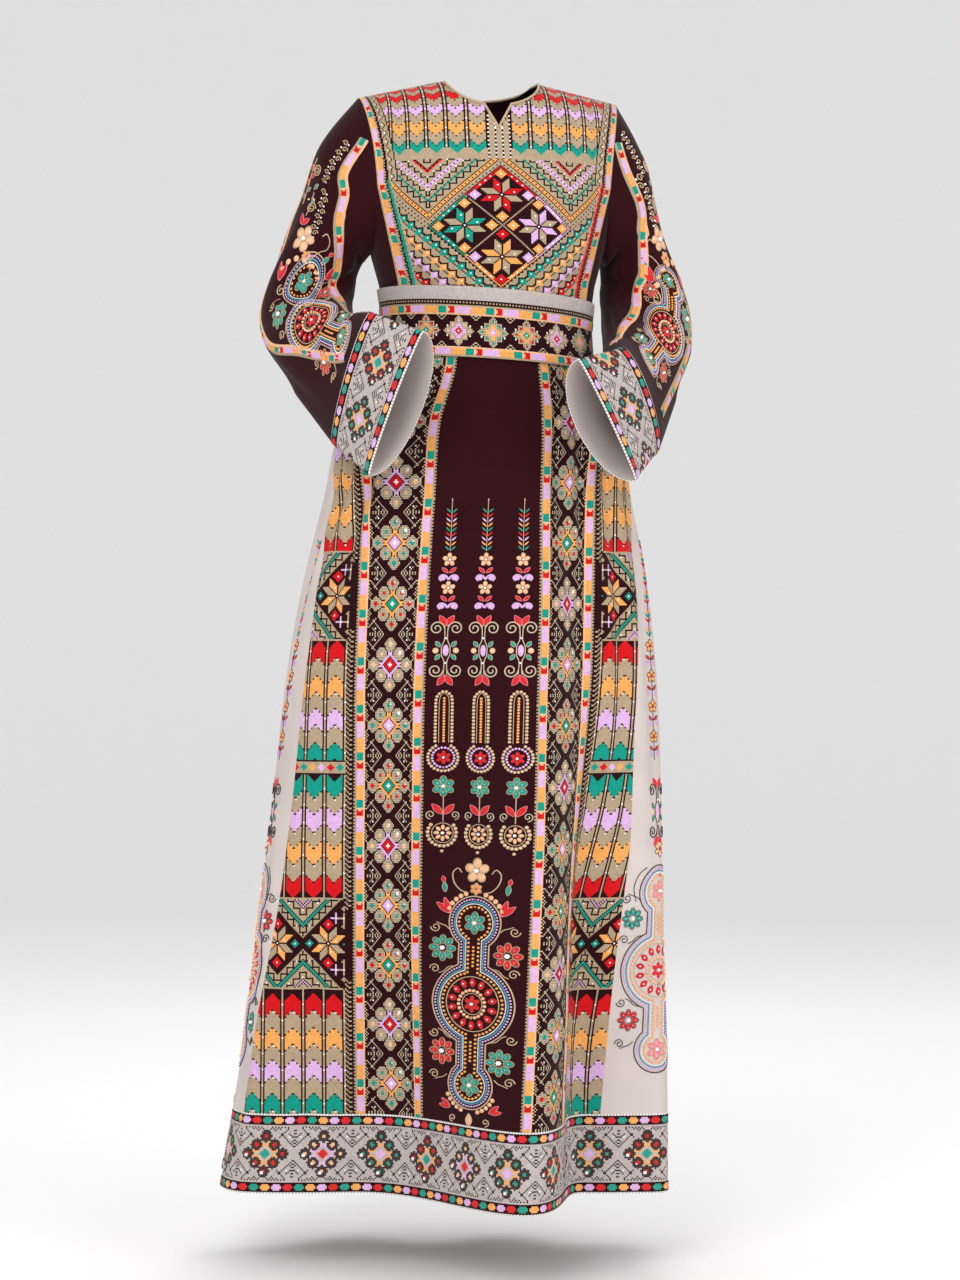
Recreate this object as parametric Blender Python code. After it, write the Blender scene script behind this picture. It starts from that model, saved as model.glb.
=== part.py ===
"""A worn ankle-length embroidered thobe dress, hollow, with long bell sleeves bent forward at the elbow.

Metres, +Z up. The front faces -Y and the wearer's right is -X. The origin is the point between the two
shoulder seams, at the base of the neck, where the wearer's shoulders hold the dress up.
"""

import math

import bpy
import numpy as np

# Cloth
CLOTH = 0.0016
BELT_CLOTH = 0.0020
SEAM_GAP = 0.0003
BRAID_RAISE = 0.0008
BRAID_STEP = 0.0010

# Heights down the dress
WAIST_Z = -0.300
RING_Z = -0.245
HEM_BAND_Z = -1.272
HEM_Z = -1.372
HEM_SEAM_DEG = 92.0

# Bodice
TIP_X = 0.1625
TIP_Z = -0.0125
NECK_X = 0.060
NECK_SIDE_Z = 0.010
NECK_FRONT_Z = -0.032
NECK_BACK_Z = -0.004
SLIT_X = 0.017
SLIT_DROP = 0.028
SHOULDER_ROUND = 0.055
FRONT_SEAM_DEG = 62.0
BRAID_WIDTH = 0.0150

# Armhole, an upright loop
ARM_TOP_Z = TIP_Z
ARM_BOTTOM_Z = -0.205
ARM_HALF_DEPTH = 0.062
SEAM_LEAVES_ARMHOLE_DEG = 102.0

# Belt
BELT_TOP_Z = -0.258
BELT_BOTTOM_Z = -0.343
BELT_TILT = 0.065
BELT_CLEAR = 0.0022


def table(columns, *rows):
    """Rows of values as dicts with the named columns."""
    return [dict(zip(columns.split(), row)) for row in rows]


# Body sections, front and back being the depths either side of the middle plane
TORSO = table(
    "z half_width front back",
    (0.02, 0.186, 0.076, 0.066),
    (-0.05, 0.182, 0.09, 0.084),
    (-0.11, 0.174, 0.107, 0.094),
    (-0.17, 0.16, 0.12, 0.096),
    (-0.205, 0.15, 0.121, 0.094),
    (-0.245, 0.135, 0.112, 0.09),
    (-0.3, 0.128, 0.101, 0.087),
)

# Skirt sections. square is 2 for an ellipse and more for a fuller outline. turn_deg turns the section about Z
SKIRT = table(
    "z center_x center_y half_width front back square turn_deg",
    (-0.3, 0.0, 0.0, 0.128, 0.101, 0.087, 2.0, 0.0),
    (-0.345, 0.0, 0.0, 0.133, 0.105, 0.093, 2.0, 0.0),
    (-0.42, -0.007, 0.0, 0.175, 0.116, 0.113, 2.1, -1.0),
    (-0.51, -0.011, 0.0, 0.193, 0.122, 0.137, 2.2, -2.0),
    (-0.61, -0.013, 0.006, 0.215, 0.125, 0.15, 2.3, -3.5),
    (-0.76, -0.018, 0.016, 0.236, 0.121, 0.164, 2.5, -5.5),
    (-0.91, -0.023, 0.027, 0.246, 0.115, 0.176, 2.7, -7.0),
    (-1.06, -0.031, 0.038, 0.254, 0.108, 0.186, 2.8, -8.0),
    (-1.21, -0.038, 0.05, 0.265, 0.101, 0.194, 2.9, -9.0),
    (-1.372, -0.05, 0.062, 0.278, 0.094, 0.202, 3.0, -9.0),
)

# Hanging folds. out is at the hem, lean moves the crest towards +X at the front
FOLDS = table(
    "name at_deg width_deg out lean top_z",
    ("forward_leg", 13.0, 15.0, 0.15, 0.03, -0.42),
    ("step_valley", 31.0, 7.0, -0.03, 0.0, -0.56),
    ("right_front", -19.0, 12.0, -0.016, 0.0, -0.62),
    ("right_side_front", -52.0, 11.0, 0.01, 0.0, -0.56),
    ("left_side_front", 58.0, 11.0, 0.026, 0.01, -0.56),
    ("gore_right", -96.0, 10.0, -0.012, 0.0, -0.64),
    ("gore_left", 92.0, 10.0, -0.018, 0.0, -0.64),
    ("back_right_outer", -122.0, 9.0, 0.026, 0.006, -0.48),
    ("back_right_valley", -140.0, 8.0, -0.024, 0.0, -0.48),
    ("back_right_inner", -158.0, 8.0, 0.024, -0.006, -0.44),
    ("back_middle", -178.0, 9.0, -0.026, 0.0, -0.44),
    ("back_left_inner", 163.0, 8.0, 0.026, 0.006, -0.44),
    ("back_left_valley", 145.0, 8.0, -0.024, 0.0, -0.48),
    ("back_left_outer", 127.0, 9.0, 0.025, -0.006, -0.48),
)

# Upright skirt seams, in degrees round from the front, positive towards +X
SEAMS = table(
    "z gore_back_r gore_r band_r center_r center_l band_l gore_l gore_back_l",
    (-0.3, -108, -98, -70, -24, 22, 64, 98, 108),
    (-0.42, -105, -86, -60, -21.5, 19.5, 49, 86, 106),
    (-0.56, -106, -68.2, -46.2, -18.8, 16.0, 39.5, 65.5, 106),
    (-0.76, -108, -57.0, -36.2, -15.2, 13.2, 33.5, 51.5, 104),
    (-0.96, -108, -54.0, -31.0, -12.2, 12.0, 27.0, 46.5, 101),
    (-1.16, -108, -56.0, -26.5, -8.8, 11.2, 24.0, 41.0, 98),
    (-1.372, -106, -56.0, -21.5, -5.0, 10.9, 24.6, 37.5, 95),
)

# Sleeve rings. outer is the elbow side of the arm, inner the side of its crook. near is how far the ring
# stands out from the line between them on its front, which faces sideways on the forearm, and far how far
# on its other side.
SLEEVE_R = (
    dict(at=0.00, outer=(-0.1625, 0.000, -0.0125), inner=(-0.1455, 0.000, -0.205), near=0.062, far=0.062),
    dict(at=0.14, outer=(-0.207, 0.010, -0.069), inner=(-0.152, 0.008, -0.212), near=0.058, far=0.062),
    dict(at=0.28, outer=(-0.230, 0.022, -0.137), inner=(-0.158, 0.010, -0.222), near=0.054, far=0.062),
    dict(at=0.40, outer=(-0.250, 0.036, -0.188), inner=(-0.165, 0.006, -0.237), near=0.050, far=0.061),
    dict(at=0.50, outer=(-0.266, 0.052, -0.243), inner=(-0.172, -0.006, -0.256), near=0.046, far=0.059),
    dict(at=0.58, outer=(-0.273, 0.058, -0.290), inner=(-0.175, -0.030, -0.272), near=0.042, far=0.056),
    dict(at=0.66, outer=(-0.267, 0.042, -0.327), inner=(-0.176, -0.062, -0.283), near=0.036, far=0.053),
    dict(at=0.76, outer=(-0.248, 0.000, -0.368), inner=(-0.174, -0.094, -0.289), near=0.027, far=0.050),
    dict(at=0.88, outer=(-0.225, -0.052, -0.410), inner=(-0.170, -0.126, -0.291), near=0.018, far=0.047),
    dict(at=1.00, outer=(-0.205, -0.104, -0.448), inner=(-0.166, -0.156, -0.294), near=0.010, far=0.044),
)
SLEEVE_L = (
    dict(at=0.00, outer=(0.1625, 0.000, -0.0125), inner=(0.1455, 0.000, -0.205), near=0.062, far=0.062),
    dict(at=0.14, outer=(0.190, 0.004, -0.066), inner=(0.152, 0.006, -0.212), near=0.058, far=0.062),
    dict(at=0.28, outer=(0.209, 0.014, -0.124), inner=(0.154, 0.006, -0.224), near=0.054, far=0.062),
    dict(at=0.40, outer=(0.229, 0.024, -0.186), inner=(0.154, 0.000, -0.240), near=0.050, far=0.061),
    dict(at=0.50, outer=(0.248, 0.034, -0.236), inner=(0.152, -0.014, -0.262), near=0.046, far=0.059),
    dict(at=0.58, outer=(0.260, 0.034, -0.288), inner=(0.148, -0.040, -0.284), near=0.042, far=0.056),
    dict(at=0.66, outer=(0.258, 0.016, -0.332), inner=(0.143, -0.072, -0.303), near=0.036, far=0.053),
    dict(at=0.76, outer=(0.238, -0.024, -0.374), inner=(0.140, -0.106, -0.316), near=0.029, far=0.050),
    dict(at=0.88, outer=(0.213, -0.078, -0.416), inner=(0.138, -0.142, -0.325), near=0.021, far=0.046),
    dict(at=1.00, outer=(0.189, -0.130, -0.456), inner=(0.137, -0.172, -0.333), near=0.015, far=0.042),
)
# The open end of each cuff
CUFF_END_R = dict(outer=(-0.170, -0.183, -0.490), inner=(-0.110, -0.219, -0.322), near=0.006, far=0.042)
CUFF_END_L = dict(outer=(0.145, -0.215, -0.495), inner=(0.070, -0.242, -0.354), near=0.004, far=0.042)

# Colours
MAROON = (0.062, 0.010, 0.014)
CREAM = (0.56, 0.50, 0.44)
STITCHED = (0.30, 0.20, 0.14)
COLORS = dict(maroon_cloth=MAROON, cream_cloth=CREAM, embroidered_cloth=STITCHED)


def smooth(x):
    """0 to 1 with flat ends, for x from 0 to 1."""
    x = np.clip(x, 0.0, 1.0)
    return x * x * (3.0 - 2.0 * x)


def spline(xs, ys, x):
    """A monotone-friendly cubic through the rows (xs, ys), evaluated at x."""
    xs, ys, x = np.asarray(xs, float), np.asarray(ys, float), np.asarray(x, float)
    if xs[0] > xs[-1]:
        xs, ys = xs[::-1], ys[::-1]
    slope = np.gradient(ys, xs)
    k = np.clip(np.searchsorted(xs, x) - 1, 0, len(xs) - 2)
    h = xs[k + 1] - xs[k]
    u = np.clip((x - xs[k]) / h, 0.0, 1.0)
    return (
        (2 * u**3 - 3 * u**2 + 1) * ys[k]
        + (u**3 - 2 * u**2 + u) * h * slope[k]
        + (3 * u**2 - 2 * u**3) * ys[k + 1]
        + (u**3 - u**2) * h * slope[k + 1]
    )


def column(rows, key, x, at="z"):
    return spline([row[at] for row in rows], [row[key] for row in rows], x)


def unit(v):
    return v / np.maximum(np.linalg.norm(v, axis=-1, keepdims=True), 1e-12)


def stack(x, y, z):
    return np.stack(np.broadcast_arrays(x, y, z), axis=-1).astype(float)


def skirt_point(deg, z):
    """A point of the skirt's outer face, deg round from the front at height z."""
    deg, z = np.broadcast_arrays(np.asarray(deg, float), np.asarray(z, float))
    a = column(SKIRT, "half_width", z)
    front, back = column(SKIRT, "front", z), column(SKIRT, "back", z)
    angle = np.radians(deg)
    c, s = np.cos(angle), np.sin(angle)
    depth = np.where(c > 0, front, back)
    power = column(SKIRT, "square", z)
    fuller = (np.abs(c) ** power + np.abs(s) ** power) ** (-1.0 / power)
    x, y = a * s * fuller, -depth * c * fuller
    nx, ny = depth * s, -a * c
    size = np.hypot(nx, ny)
    nx, ny = nx / size, ny / size
    for fold in FOLDS:
        grown = smooth((fold["top_z"] - z) / (fold["top_z"] - HEM_Z)) * 0.6
        grown = grown + 0.4 * np.clip((fold["top_z"] - z) / (fold["top_z"] - HEM_Z), 0.0, 1.0)
        away = (deg - fold["at_deg"] + 180.0) % 360.0 - 180.0
        bell = np.exp(-((away / fold["width_deg"]) ** 2))
        x = x + grown * bell * (fold["out"] * nx - fold["lean"] * ny)
        y = y + grown * bell * (fold["out"] * ny + fold["lean"] * nx)
    turn = np.radians(column(SKIRT, "turn_deg", z))
    ct, st = np.cos(turn), np.sin(turn)
    return stack(
        column(SKIRT, "center_x", z) + x * ct - y * st,
        column(SKIRT, "center_y", z) + x * st + y * ct,
        z,
    )


def normals_of(surface, u, v, du, dv):
    """Outward unit normals of surface(u, v), by differences."""
    across = surface(u + du, v) - surface(u - du, v)
    along = surface(u, v + dv) - surface(u, v - dv)
    return unit(np.cross(across, along))


def skirt_normal(deg, z):
    inside = np.clip(z, HEM_Z + 0.001, WAIST_Z - 0.001)
    return normals_of(skirt_point, deg, inside, 0.3, 0.0009)


def level_ends(normal):
    """Makes the first and last rows of normals level, so that walls meet there on level faces."""
    normal[[0, -1], :, 2] = 0.0
    return unit(normal)


def step_back(edge, next_row, gap, ring=False):
    """Moves an edge away from its seam by gap, square to the seam and towards the grid's next row."""
    if ring:
        along = np.roll(edge, -1, axis=0) - np.roll(edge, 1, axis=0)
    else:
        along = np.gradient(edge, axis=0)
    along = unit(along)
    towards = next_row - edge
    towards = towards - along * np.sum(towards * along, axis=-1, keepdims=True)
    return edge + gap * unit(towards)


def grid_wall(name, outer, inner, material, ring=False):
    """One closed wall between two grids of points. ring joins the last column to the first."""
    rows, cols = outer.shape[:2]
    points = np.concatenate([outer.reshape(-1, 3), inner.reshape(-1, 3)])
    back = rows * cols

    def at(r, c):
        return r * cols + c % cols

    faces = []

    def add(a, b, c, d, turned):
        """Two triangles on the corners a b c d, split from a to c, so that both faces of a wall match."""
        for three in ((a, b, c), (a, c, d)):
            faces.append(tuple(reversed(three)) if turned else three)

    last = cols if ring else cols - 1
    for r in range(rows - 1):
        for c in range(last):
            quad = (at(r, c), at(r, c + 1), at(r + 1, c + 1), at(r + 1, c))
            add(*quad, False)
            add(*(back + k for k in quad), True)
    for r, turned in ((0, True), (rows - 1, False)):
        for c in range(last):
            add(at(r, c), at(r, c + 1), back + at(r, c + 1), back + at(r, c), turned)
    if not ring:
        for c, turned in ((0, False), (cols - 1, True)):
            for r in range(rows - 1):
                add(at(r, c), at(r + 1, c), back + at(r + 1, c), back + at(r, c), turned)
    mesh = bpy.data.meshes.new(name)
    mesh.from_pydata([tuple(p) for p in points], [], faces)
    mesh.validate()
    if volume_of(mesh) < 0:
        mesh.flip_normals()
    mesh.shade_smooth()
    mesh.set_sharp_from_angle(angle=math.radians(50))
    mesh.materials.append(material)
    made = bpy.data.objects.new(name, mesh)
    PARTS.objects.link(made)
    return made


def volume_of(mesh):
    total = 0.0
    for face in mesh.polygons:
        corners = [mesh.vertices[k].co for k in face.vertices]
        for b, c in zip(corners[1:-1], corners[2:]):
            total += corners[0].dot(b.cross(c))
    return total / 6.0


def with_braids(stations, bands, step):
    """Adds to the stations of a grid the two edges of each braid, and says how far each station is raised.

    bands are (start, end) in the stations' own unit, and step is the width of a braid's sloping side in it.
    """
    marks = dict.fromkeys(stations, 0.0)
    first, last = stations[0], stations[-1]
    for start, end in bands:
        for mark in [k for k in marks if start - step < k < end + step]:
            del marks[mark]
        sloped = {start - step: 0.0, start: 1.0, end: 1.0, end + step: 0.0}
        marks.update({k: raised for k, raised in sloped.items() if first <= k <= last})
    inside = sorted(marks)
    return np.array(inside), np.array([marks[k] for k in inside])


def skirt_panel(name, left, right, columns, rows, material, braids=()):
    """A skirt panel between two seam lines. braids are (start, end) shares of its width that stand proud."""
    shares, raised = with_braids(list(np.linspace(0.0, 1.0, columns + 1)), braids, 0.012)
    z = np.array(rows)[:, None]
    a, b = column(SEAMS, left, z), column(SEAMS, right, z)
    if b.mean() < a.mean():
        b = b + 360.0
    per_deg = np.linalg.norm(skirt_point(a + 0.2, z) - skirt_point(a - 0.2, z), axis=-1) / 0.4
    per_deg_b = np.linalg.norm(skirt_point(b + 0.2, z) - skirt_point(b - 0.2, z), axis=-1) / 0.4
    a = a + 0.5 * SEAM_GAP / per_deg
    b = b - 0.5 * SEAM_GAP / per_deg_b
    deg = a + (b - a) * shares[None, :]
    outer = skirt_point(deg, z)
    normal = level_ends(skirt_normal(deg, z + 0 * deg))
    proud = BRAID_RAISE * raised[None, :, None]
    return grid_wall(name, outer + proud * normal, outer - CLOTH * normal, material)


def torso_half(x, z, side):
    """Depth of the body's front (side -1) or back (side 1) at x, z, rounding over at the shoulder line."""
    a = column(TORSO, "half_width", z)
    depth = column(TORSO, "front" if side < 0 else "back", z)
    full = np.sqrt(np.clip(1.0 - (x / a) ** 2, 0.0, 1.0))
    top = shoulder_z(x)
    down = np.clip((top - z) / SHOULDER_ROUND, 0.0, 1.0)
    return side * depth * full * np.sqrt(1.0 - (1.0 - down) ** 2)


def shoulder_z(x):
    """Height of the shoulder line over x."""
    return NECK_SIDE_Z - (NECK_SIDE_Z - TIP_Z) * (np.abs(x) - NECK_X) / (TIP_X - NECK_X)


def armhole(deg, hand):
    """The armhole loop: 0 at the shoulder tip, 90 at the front. hand is -1 for the wearer's right."""
    angle = np.radians(np.asarray(deg, float))
    middle, reach = (ARM_TOP_Z + ARM_BOTTOM_Z) / 2, (ARM_TOP_Z - ARM_BOTTOM_Z) / 2
    z = middle + reach * np.cos(angle)
    x = 0.147 + 0.0085 * np.cos(angle) + 0.007 * np.cos(angle) ** 2
    return stack(hand * x, -ARM_HALF_DEPTH * np.sin(angle), z)


def waist_point(deg):
    """The waist seam, the same ring for bodice and skirt."""
    angle = np.radians(deg)
    row = TORSO[-1]
    depth = np.where(np.cos(angle) > 0, row["front"], row["back"])
    return stack(row["half_width"] * np.sin(angle), -depth * np.cos(angle), WAIST_Z)


def ring_point(deg):
    """The level section just above the belt that the side panels come down to."""
    angle = np.radians(deg)
    a = column(TORSO, "half_width", RING_Z)
    depth = np.where(np.cos(angle) > 0, column(TORSO, "front", RING_Z), column(TORSO, "back", RING_Z))
    return stack(a * np.sin(angle), -depth * np.cos(angle), RING_Z)


# Stations down a front or back panel. The first ones lie on the armhole, the last ones on the straight seam
PANEL_T = (0.0, 0.05, 0.11, 0.18, 0.26, 0.34, 0.42, 0.50, 0.60, 0.69, 0.78, 0.89, 1.0)
ARMHOLE_T = 0.42
RING_T = 0.78
SIDE_STEPS = 5


def armhole_stations():
    """Degrees round the armhole of every panel corner on it, which the sleeve shares."""
    front = [SEAM_LEAVES_ARMHOLE_DEG * t / ARMHOLE_T for t in PANEL_T if t <= ARMHOLE_T]
    under = 360.0 - 2 * SEAM_LEAVES_ARMHOLE_DEG
    below = [SEAM_LEAVES_ARMHOLE_DEG + under * k / SIDE_STEPS for k in range(1, SIDE_STEPS + 1)]
    back = [360.0 - deg for deg in reversed(front[1:-1])]
    return np.array(front + below + back)


def panel_edge(t, hand, side):
    """The outer edge of the front (side -1) or back (side 1) panel, down the armhole and on to the waist."""
    t = np.asarray(t, float)
    on_arm = np.clip(t / ARMHOLE_T, 0.0, 1.0)
    straight = np.clip((t - ARMHOLE_T) / (RING_T - ARMHOLE_T), 0.0, 1.0)[..., None]
    low = np.clip((t - RING_T) / (1.0 - RING_T), 0.0, 1.0)[..., None]
    sign = 1.0 if side < 0 else -1.0
    leave = sign * SEAM_LEAVES_ARMHOLE_DEG
    seam = hand * FRONT_SEAM_DEG if side < 0 else hand * (180.0 - FRONT_SEAM_DEG)
    point = armhole(leave * on_arm, hand)
    point = point + straight * (ring_point(seam) - armhole(leave, hand))
    return point + low * (waist_point(seam) - ring_point(seam))


def neck_z(x, side):
    """Height of the neckline over x, with the slit at the front."""
    x = np.abs(x)
    low = NECK_FRONT_Z if side < 0 else NECK_BACK_Z
    z = low + (NECK_SIDE_Z - low) * (1.0 - np.sqrt(np.clip(1.0 - (x / NECK_X) ** 2, 0.0, 1.0)))
    if side < 0:
        z = z - SLIT_DROP * np.clip(1.0 - x / SLIT_X, 0.0, 1.0)
    return z


def yoke_point(s, t, side):
    """A point of the front (side -1) or back panel. s is -1 to 1 across, t 0 at the top to 1 at the waist."""
    s, t = np.broadcast_arrays(np.asarray(s, float), np.asarray(t, float))
    across = np.radians(FRONT_SEAM_DEG)
    share = np.sin(across * np.abs(s)) / np.sin(across)
    right, left = panel_edge(t, -1, side), panel_edge(t, 1, side)
    edge = np.where((s < 0)[..., None], right, left)
    x = np.sign(s) * share * np.abs(edge[..., 0])
    tip_x = TIP_X - 0.0005
    top_x = share * tip_x
    top = np.where(top_x < NECK_X, neck_z(top_x, side), shoulder_z(top_x))
    drop = (ARM_TOP_Z - edge[..., 2]) / (ARM_TOP_Z - WAIST_Z)
    z = top + (WAIST_Z - top) * drop
    y = torso_half(x, z, side)
    edge_y = torso_half(edge[..., 0], edge[..., 2], side)
    y = y + (edge[..., 1] - edge_y) * np.abs(s) ** 5
    y = y + side * 0.5 * SEAM_GAP * np.clip(1.0 - t / 0.05, 0.0, 1.0)
    return stack(x, y, z)


def side_point(c, t, hand):
    """A point of a side panel: c 0 to 1 from its front seam to its back seam, t 0 to 1 down to the waist."""
    c, t = np.broadcast_arrays(np.asarray(c, float), np.asarray(t, float))
    arm_deg = SEAM_LEAVES_ARMHOLE_DEG + (360.0 - 2 * SEAM_LEAVES_ARMHOLE_DEG) * c
    body_deg = hand * (FRONT_SEAM_DEG + (180.0 - 2 * FRONT_SEAM_DEG) * c)
    split = (RING_T - ARMHOLE_T) / (1.0 - ARMHOLE_T)
    upper = np.clip(t / split, 0.0, 1.0)[..., None]
    lower = np.clip((t - split) / (1.0 - split), 0.0, 1.0)[..., None]
    top, ring, waist = armhole(arm_deg, hand), ring_point(body_deg), waist_point(body_deg)
    return top + upper * (ring - top) + lower * (waist - ring)


def table_points(rows, key, at):
    xs = [row["at"] for row in rows]
    return np.stack([spline(xs, [row[key][k] for row in rows], at) for k in range(3)], axis=-1)


def sleeve_point(deg, at, rows, hand):
    """A point of a sleeve. at is 0 at the armhole to 1 at the cuff, deg runs from the outer side to the front."""
    deg, at = np.broadcast_arrays(np.asarray(deg, float), np.asarray(at, float))
    outer, inner = table_points(rows, "outer", at), table_points(rows, "inner", at)
    ahead = np.minimum(at + 0.02, 1.0)
    behind = np.maximum(at - 0.02, 0.0)
    middle_ahead = (table_points(rows, "outer", ahead) + table_points(rows, "inner", ahead)) / 2
    middle_behind = (table_points(rows, "outer", behind) + table_points(rows, "inner", behind)) / 2
    across = (outer - inner) / 2
    side = unit(np.cross(across, middle_ahead - middle_behind)) * -hand
    angle = np.radians(deg)
    near, far = column(rows, "near", at, "at"), column(rows, "far", at, "at")
    wide = np.where(np.sin(angle) > 0, near, far) * np.sin(angle)
    ring = (outer + inner) / 2 + across * np.cos(angle)[..., None] + side * wide[..., None]
    near_arm = (1.0 - smooth(at / 0.16))[..., None]
    first = (np.array(rows[0]["outer"]) + np.array(rows[0]["inner"])) / 2
    start = armhole(deg, hand) + (outer + inner) / 2 - first
    return ring * (1.0 - near_arm) + start * near_arm


def cuff_point(deg, at, rows, end, hand):
    """A point of a cuff, from the sleeve's end (at 0) to its open end (at 1)."""
    deg, at = np.broadcast_arrays(np.asarray(deg, float), np.asarray(at, float))
    last = rows[-1]
    outer_a, inner_a = np.array(last["outer"]), np.array(last["inner"])
    outer_b, inner_b = np.array(end["outer"]), np.array(end["inner"])
    blend = at[..., None]
    outer, inner = outer_a + (outer_b - outer_a) * blend, inner_a + (inner_b - inner_a) * blend
    across = (outer - inner) / 2
    before = rows[-2]
    run_a = outer_a + inner_a - np.array(before["outer"]) - np.array(before["inner"])
    run_b = outer_b + inner_b - outer_a - inner_a
    run = unit(run_a) * (1.0 - blend) + unit(run_b) * blend
    side = unit(np.cross(across, run)) * -hand
    angle = np.radians(deg)
    near = last["near"] + (end["near"] - last["near"]) * at
    far = last["far"] + (end["far"] - last["far"]) * at
    wide = np.where(np.sin(angle) > 0, near, far) * np.sin(angle)
    return (outer + inner) / 2 + across * np.cos(angle)[..., None] + side * wide[..., None]


def material(name):
    made = bpy.data.materials.new(name)
    made.use_nodes = True
    shader = made.node_tree.nodes["Principled BSDF"]
    shader.inputs["Base Color"].default_value = (*COLORS[name], 1.0)
    shader.inputs["Roughness"].default_value = 0.85
    shader.inputs["Metallic"].default_value = 0.0
    return made


def outward(normal, reference):
    """normal, turned where needed to point the same way as reference."""
    flip = np.sum(normal * reference, axis=-1, keepdims=True) < 0
    return np.where(flip, -normal, normal)


def sleeve_rows(hand):
    return SLEEVE_R if hand < 0 else SLEEVE_L


def armhole_normal(deg, hand):
    """The wall's direction at the armhole seam, shared by sleeve and bodice: halfway between both faces."""
    rows = sleeve_rows(hand)

    def sleeve(d, a):
        return sleeve_point(d, a, rows, hand)

    along = unit(sleeve(deg, 0.05) - sleeve(deg, 0.0))
    around = unit(armhole(deg + 1.0, hand) - armhole(deg - 1.0, hand))
    of_sleeve = np.cross(around, along)
    middle = (armhole(0.0, hand) + armhole(180.0, hand)) / 2
    of_sleeve = outward(of_sleeve, armhole(deg, hand) - middle)
    body = stack(hand * 0.6, -np.sin(np.radians(deg)), 0.35 * np.cos(np.radians(deg)))
    return unit(unit(of_sleeve) + unit(body))


def seam_normal(t, hand, side):
    """The wall's direction down the seam between a front or back panel and the side panel."""
    seam = hand * FRONT_SEAM_DEG if side < 0 else hand * (180.0 - FRONT_SEAM_DEG)
    sign = 1.0 if side < 0 else -1.0
    top = armhole_normal(sign * SEAM_LEAVES_ARMHOLE_DEG, hand)
    bottom = waist_normal(seam)
    share = np.clip((t - ARMHOLE_T) / 0.30, 0.0, 1.0)[..., None]
    return unit(top * (1.0 - share) + bottom * share)


def waist_normal(deg):
    angle = np.radians(np.asarray(deg, float))
    row = TORSO[-1]
    depth = np.where(np.cos(angle) > 0, row["front"], row["back"])
    return unit(stack(depth * np.sin(angle), -row["half_width"] * np.cos(angle), 0.0))


def yoke_edge_normal(t, hand, side):
    sign = 1.0 if side < 0 else -1.0
    on_arm = armhole_normal(sign * SEAM_LEAVES_ARMHOLE_DEG * np.clip(t / ARMHOLE_T, 0.0, 1.0), hand)
    return np.where((t <= ARMHOLE_T)[..., None], on_arm, seam_normal(t, hand, side))


def yoke(name, side, finish):
    """The front or back panel of the bodice."""
    half = TIP_X
    braid = BRAID_WIDTH / half
    cols = [-1.0, -0.80, -0.62, -0.45, -0.33, -0.22, -0.115, 0.0, 0.115, 0.22, 0.33, 0.45, 0.62, 0.80, 1.0]
    rim = 0.0030 / half
    if side < 0:
        braids = [(-1.0 + rim, rim + braid - 1.0), (1.0 - braid - rim, 1.0 - rim)]
        s, raised = with_braids(cols, braids, 0.008)
    else:
        s, raised = np.array(cols), np.zeros(len(cols))
    t = np.array(PANEL_T)
    t[-1] = 1.0 - 0.5 * SEAM_GAP / (RING_Z - WAIST_Z) * 0.22
    ss, tt = np.meshgrid(s, t)

    def surface(u, v):
        return yoke_point(np.clip(u, -1.0, 1.0), np.clip(v, 0.0, 1.0), side)

    normal = normals_of(surface, np.clip(ss, -0.985, 0.985), np.clip(tt, 0.012, 0.99), 0.012, 0.010)
    normal = outward(normal, stack(0.0 * ss, side + 0.0 * ss, 0.4 + 0.0 * ss))
    slope = (NECK_SIDE_Z - TIP_Z) / (TIP_X - NECK_X)
    on_shoulder = smooth((np.abs(s) * TIP_X - 0.8 * NECK_X) / (0.35 * NECK_X))[:, None]
    normal[0] = unit(on_shoulder * stack(slope * np.sign(s), 0.0, 1.0) + (1.0 - on_shoulder) * normal[0])
    normal[:, 0], normal[:, -1] = yoke_edge_normal(t, -1, side), yoke_edge_normal(t, 1, side)
    seam = FRONT_SEAM_DEG * s if side < 0 else 180.0 - FRONT_SEAM_DEG * s
    normal[-1] = waist_normal(seam)
    outer = surface(ss, tt)
    outer[:, 0] = step_back(outer[:, 0], outer[:, 1], 0.5 * SEAM_GAP)
    outer[:, -1] = step_back(outer[:, -1], outer[:, -2], 0.5 * SEAM_GAP)
    proud = (BRAID_RAISE * raised)[None, :, None]
    return grid_wall(name, outer + proud * normal, outer - CLOTH * normal, finish)


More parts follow.
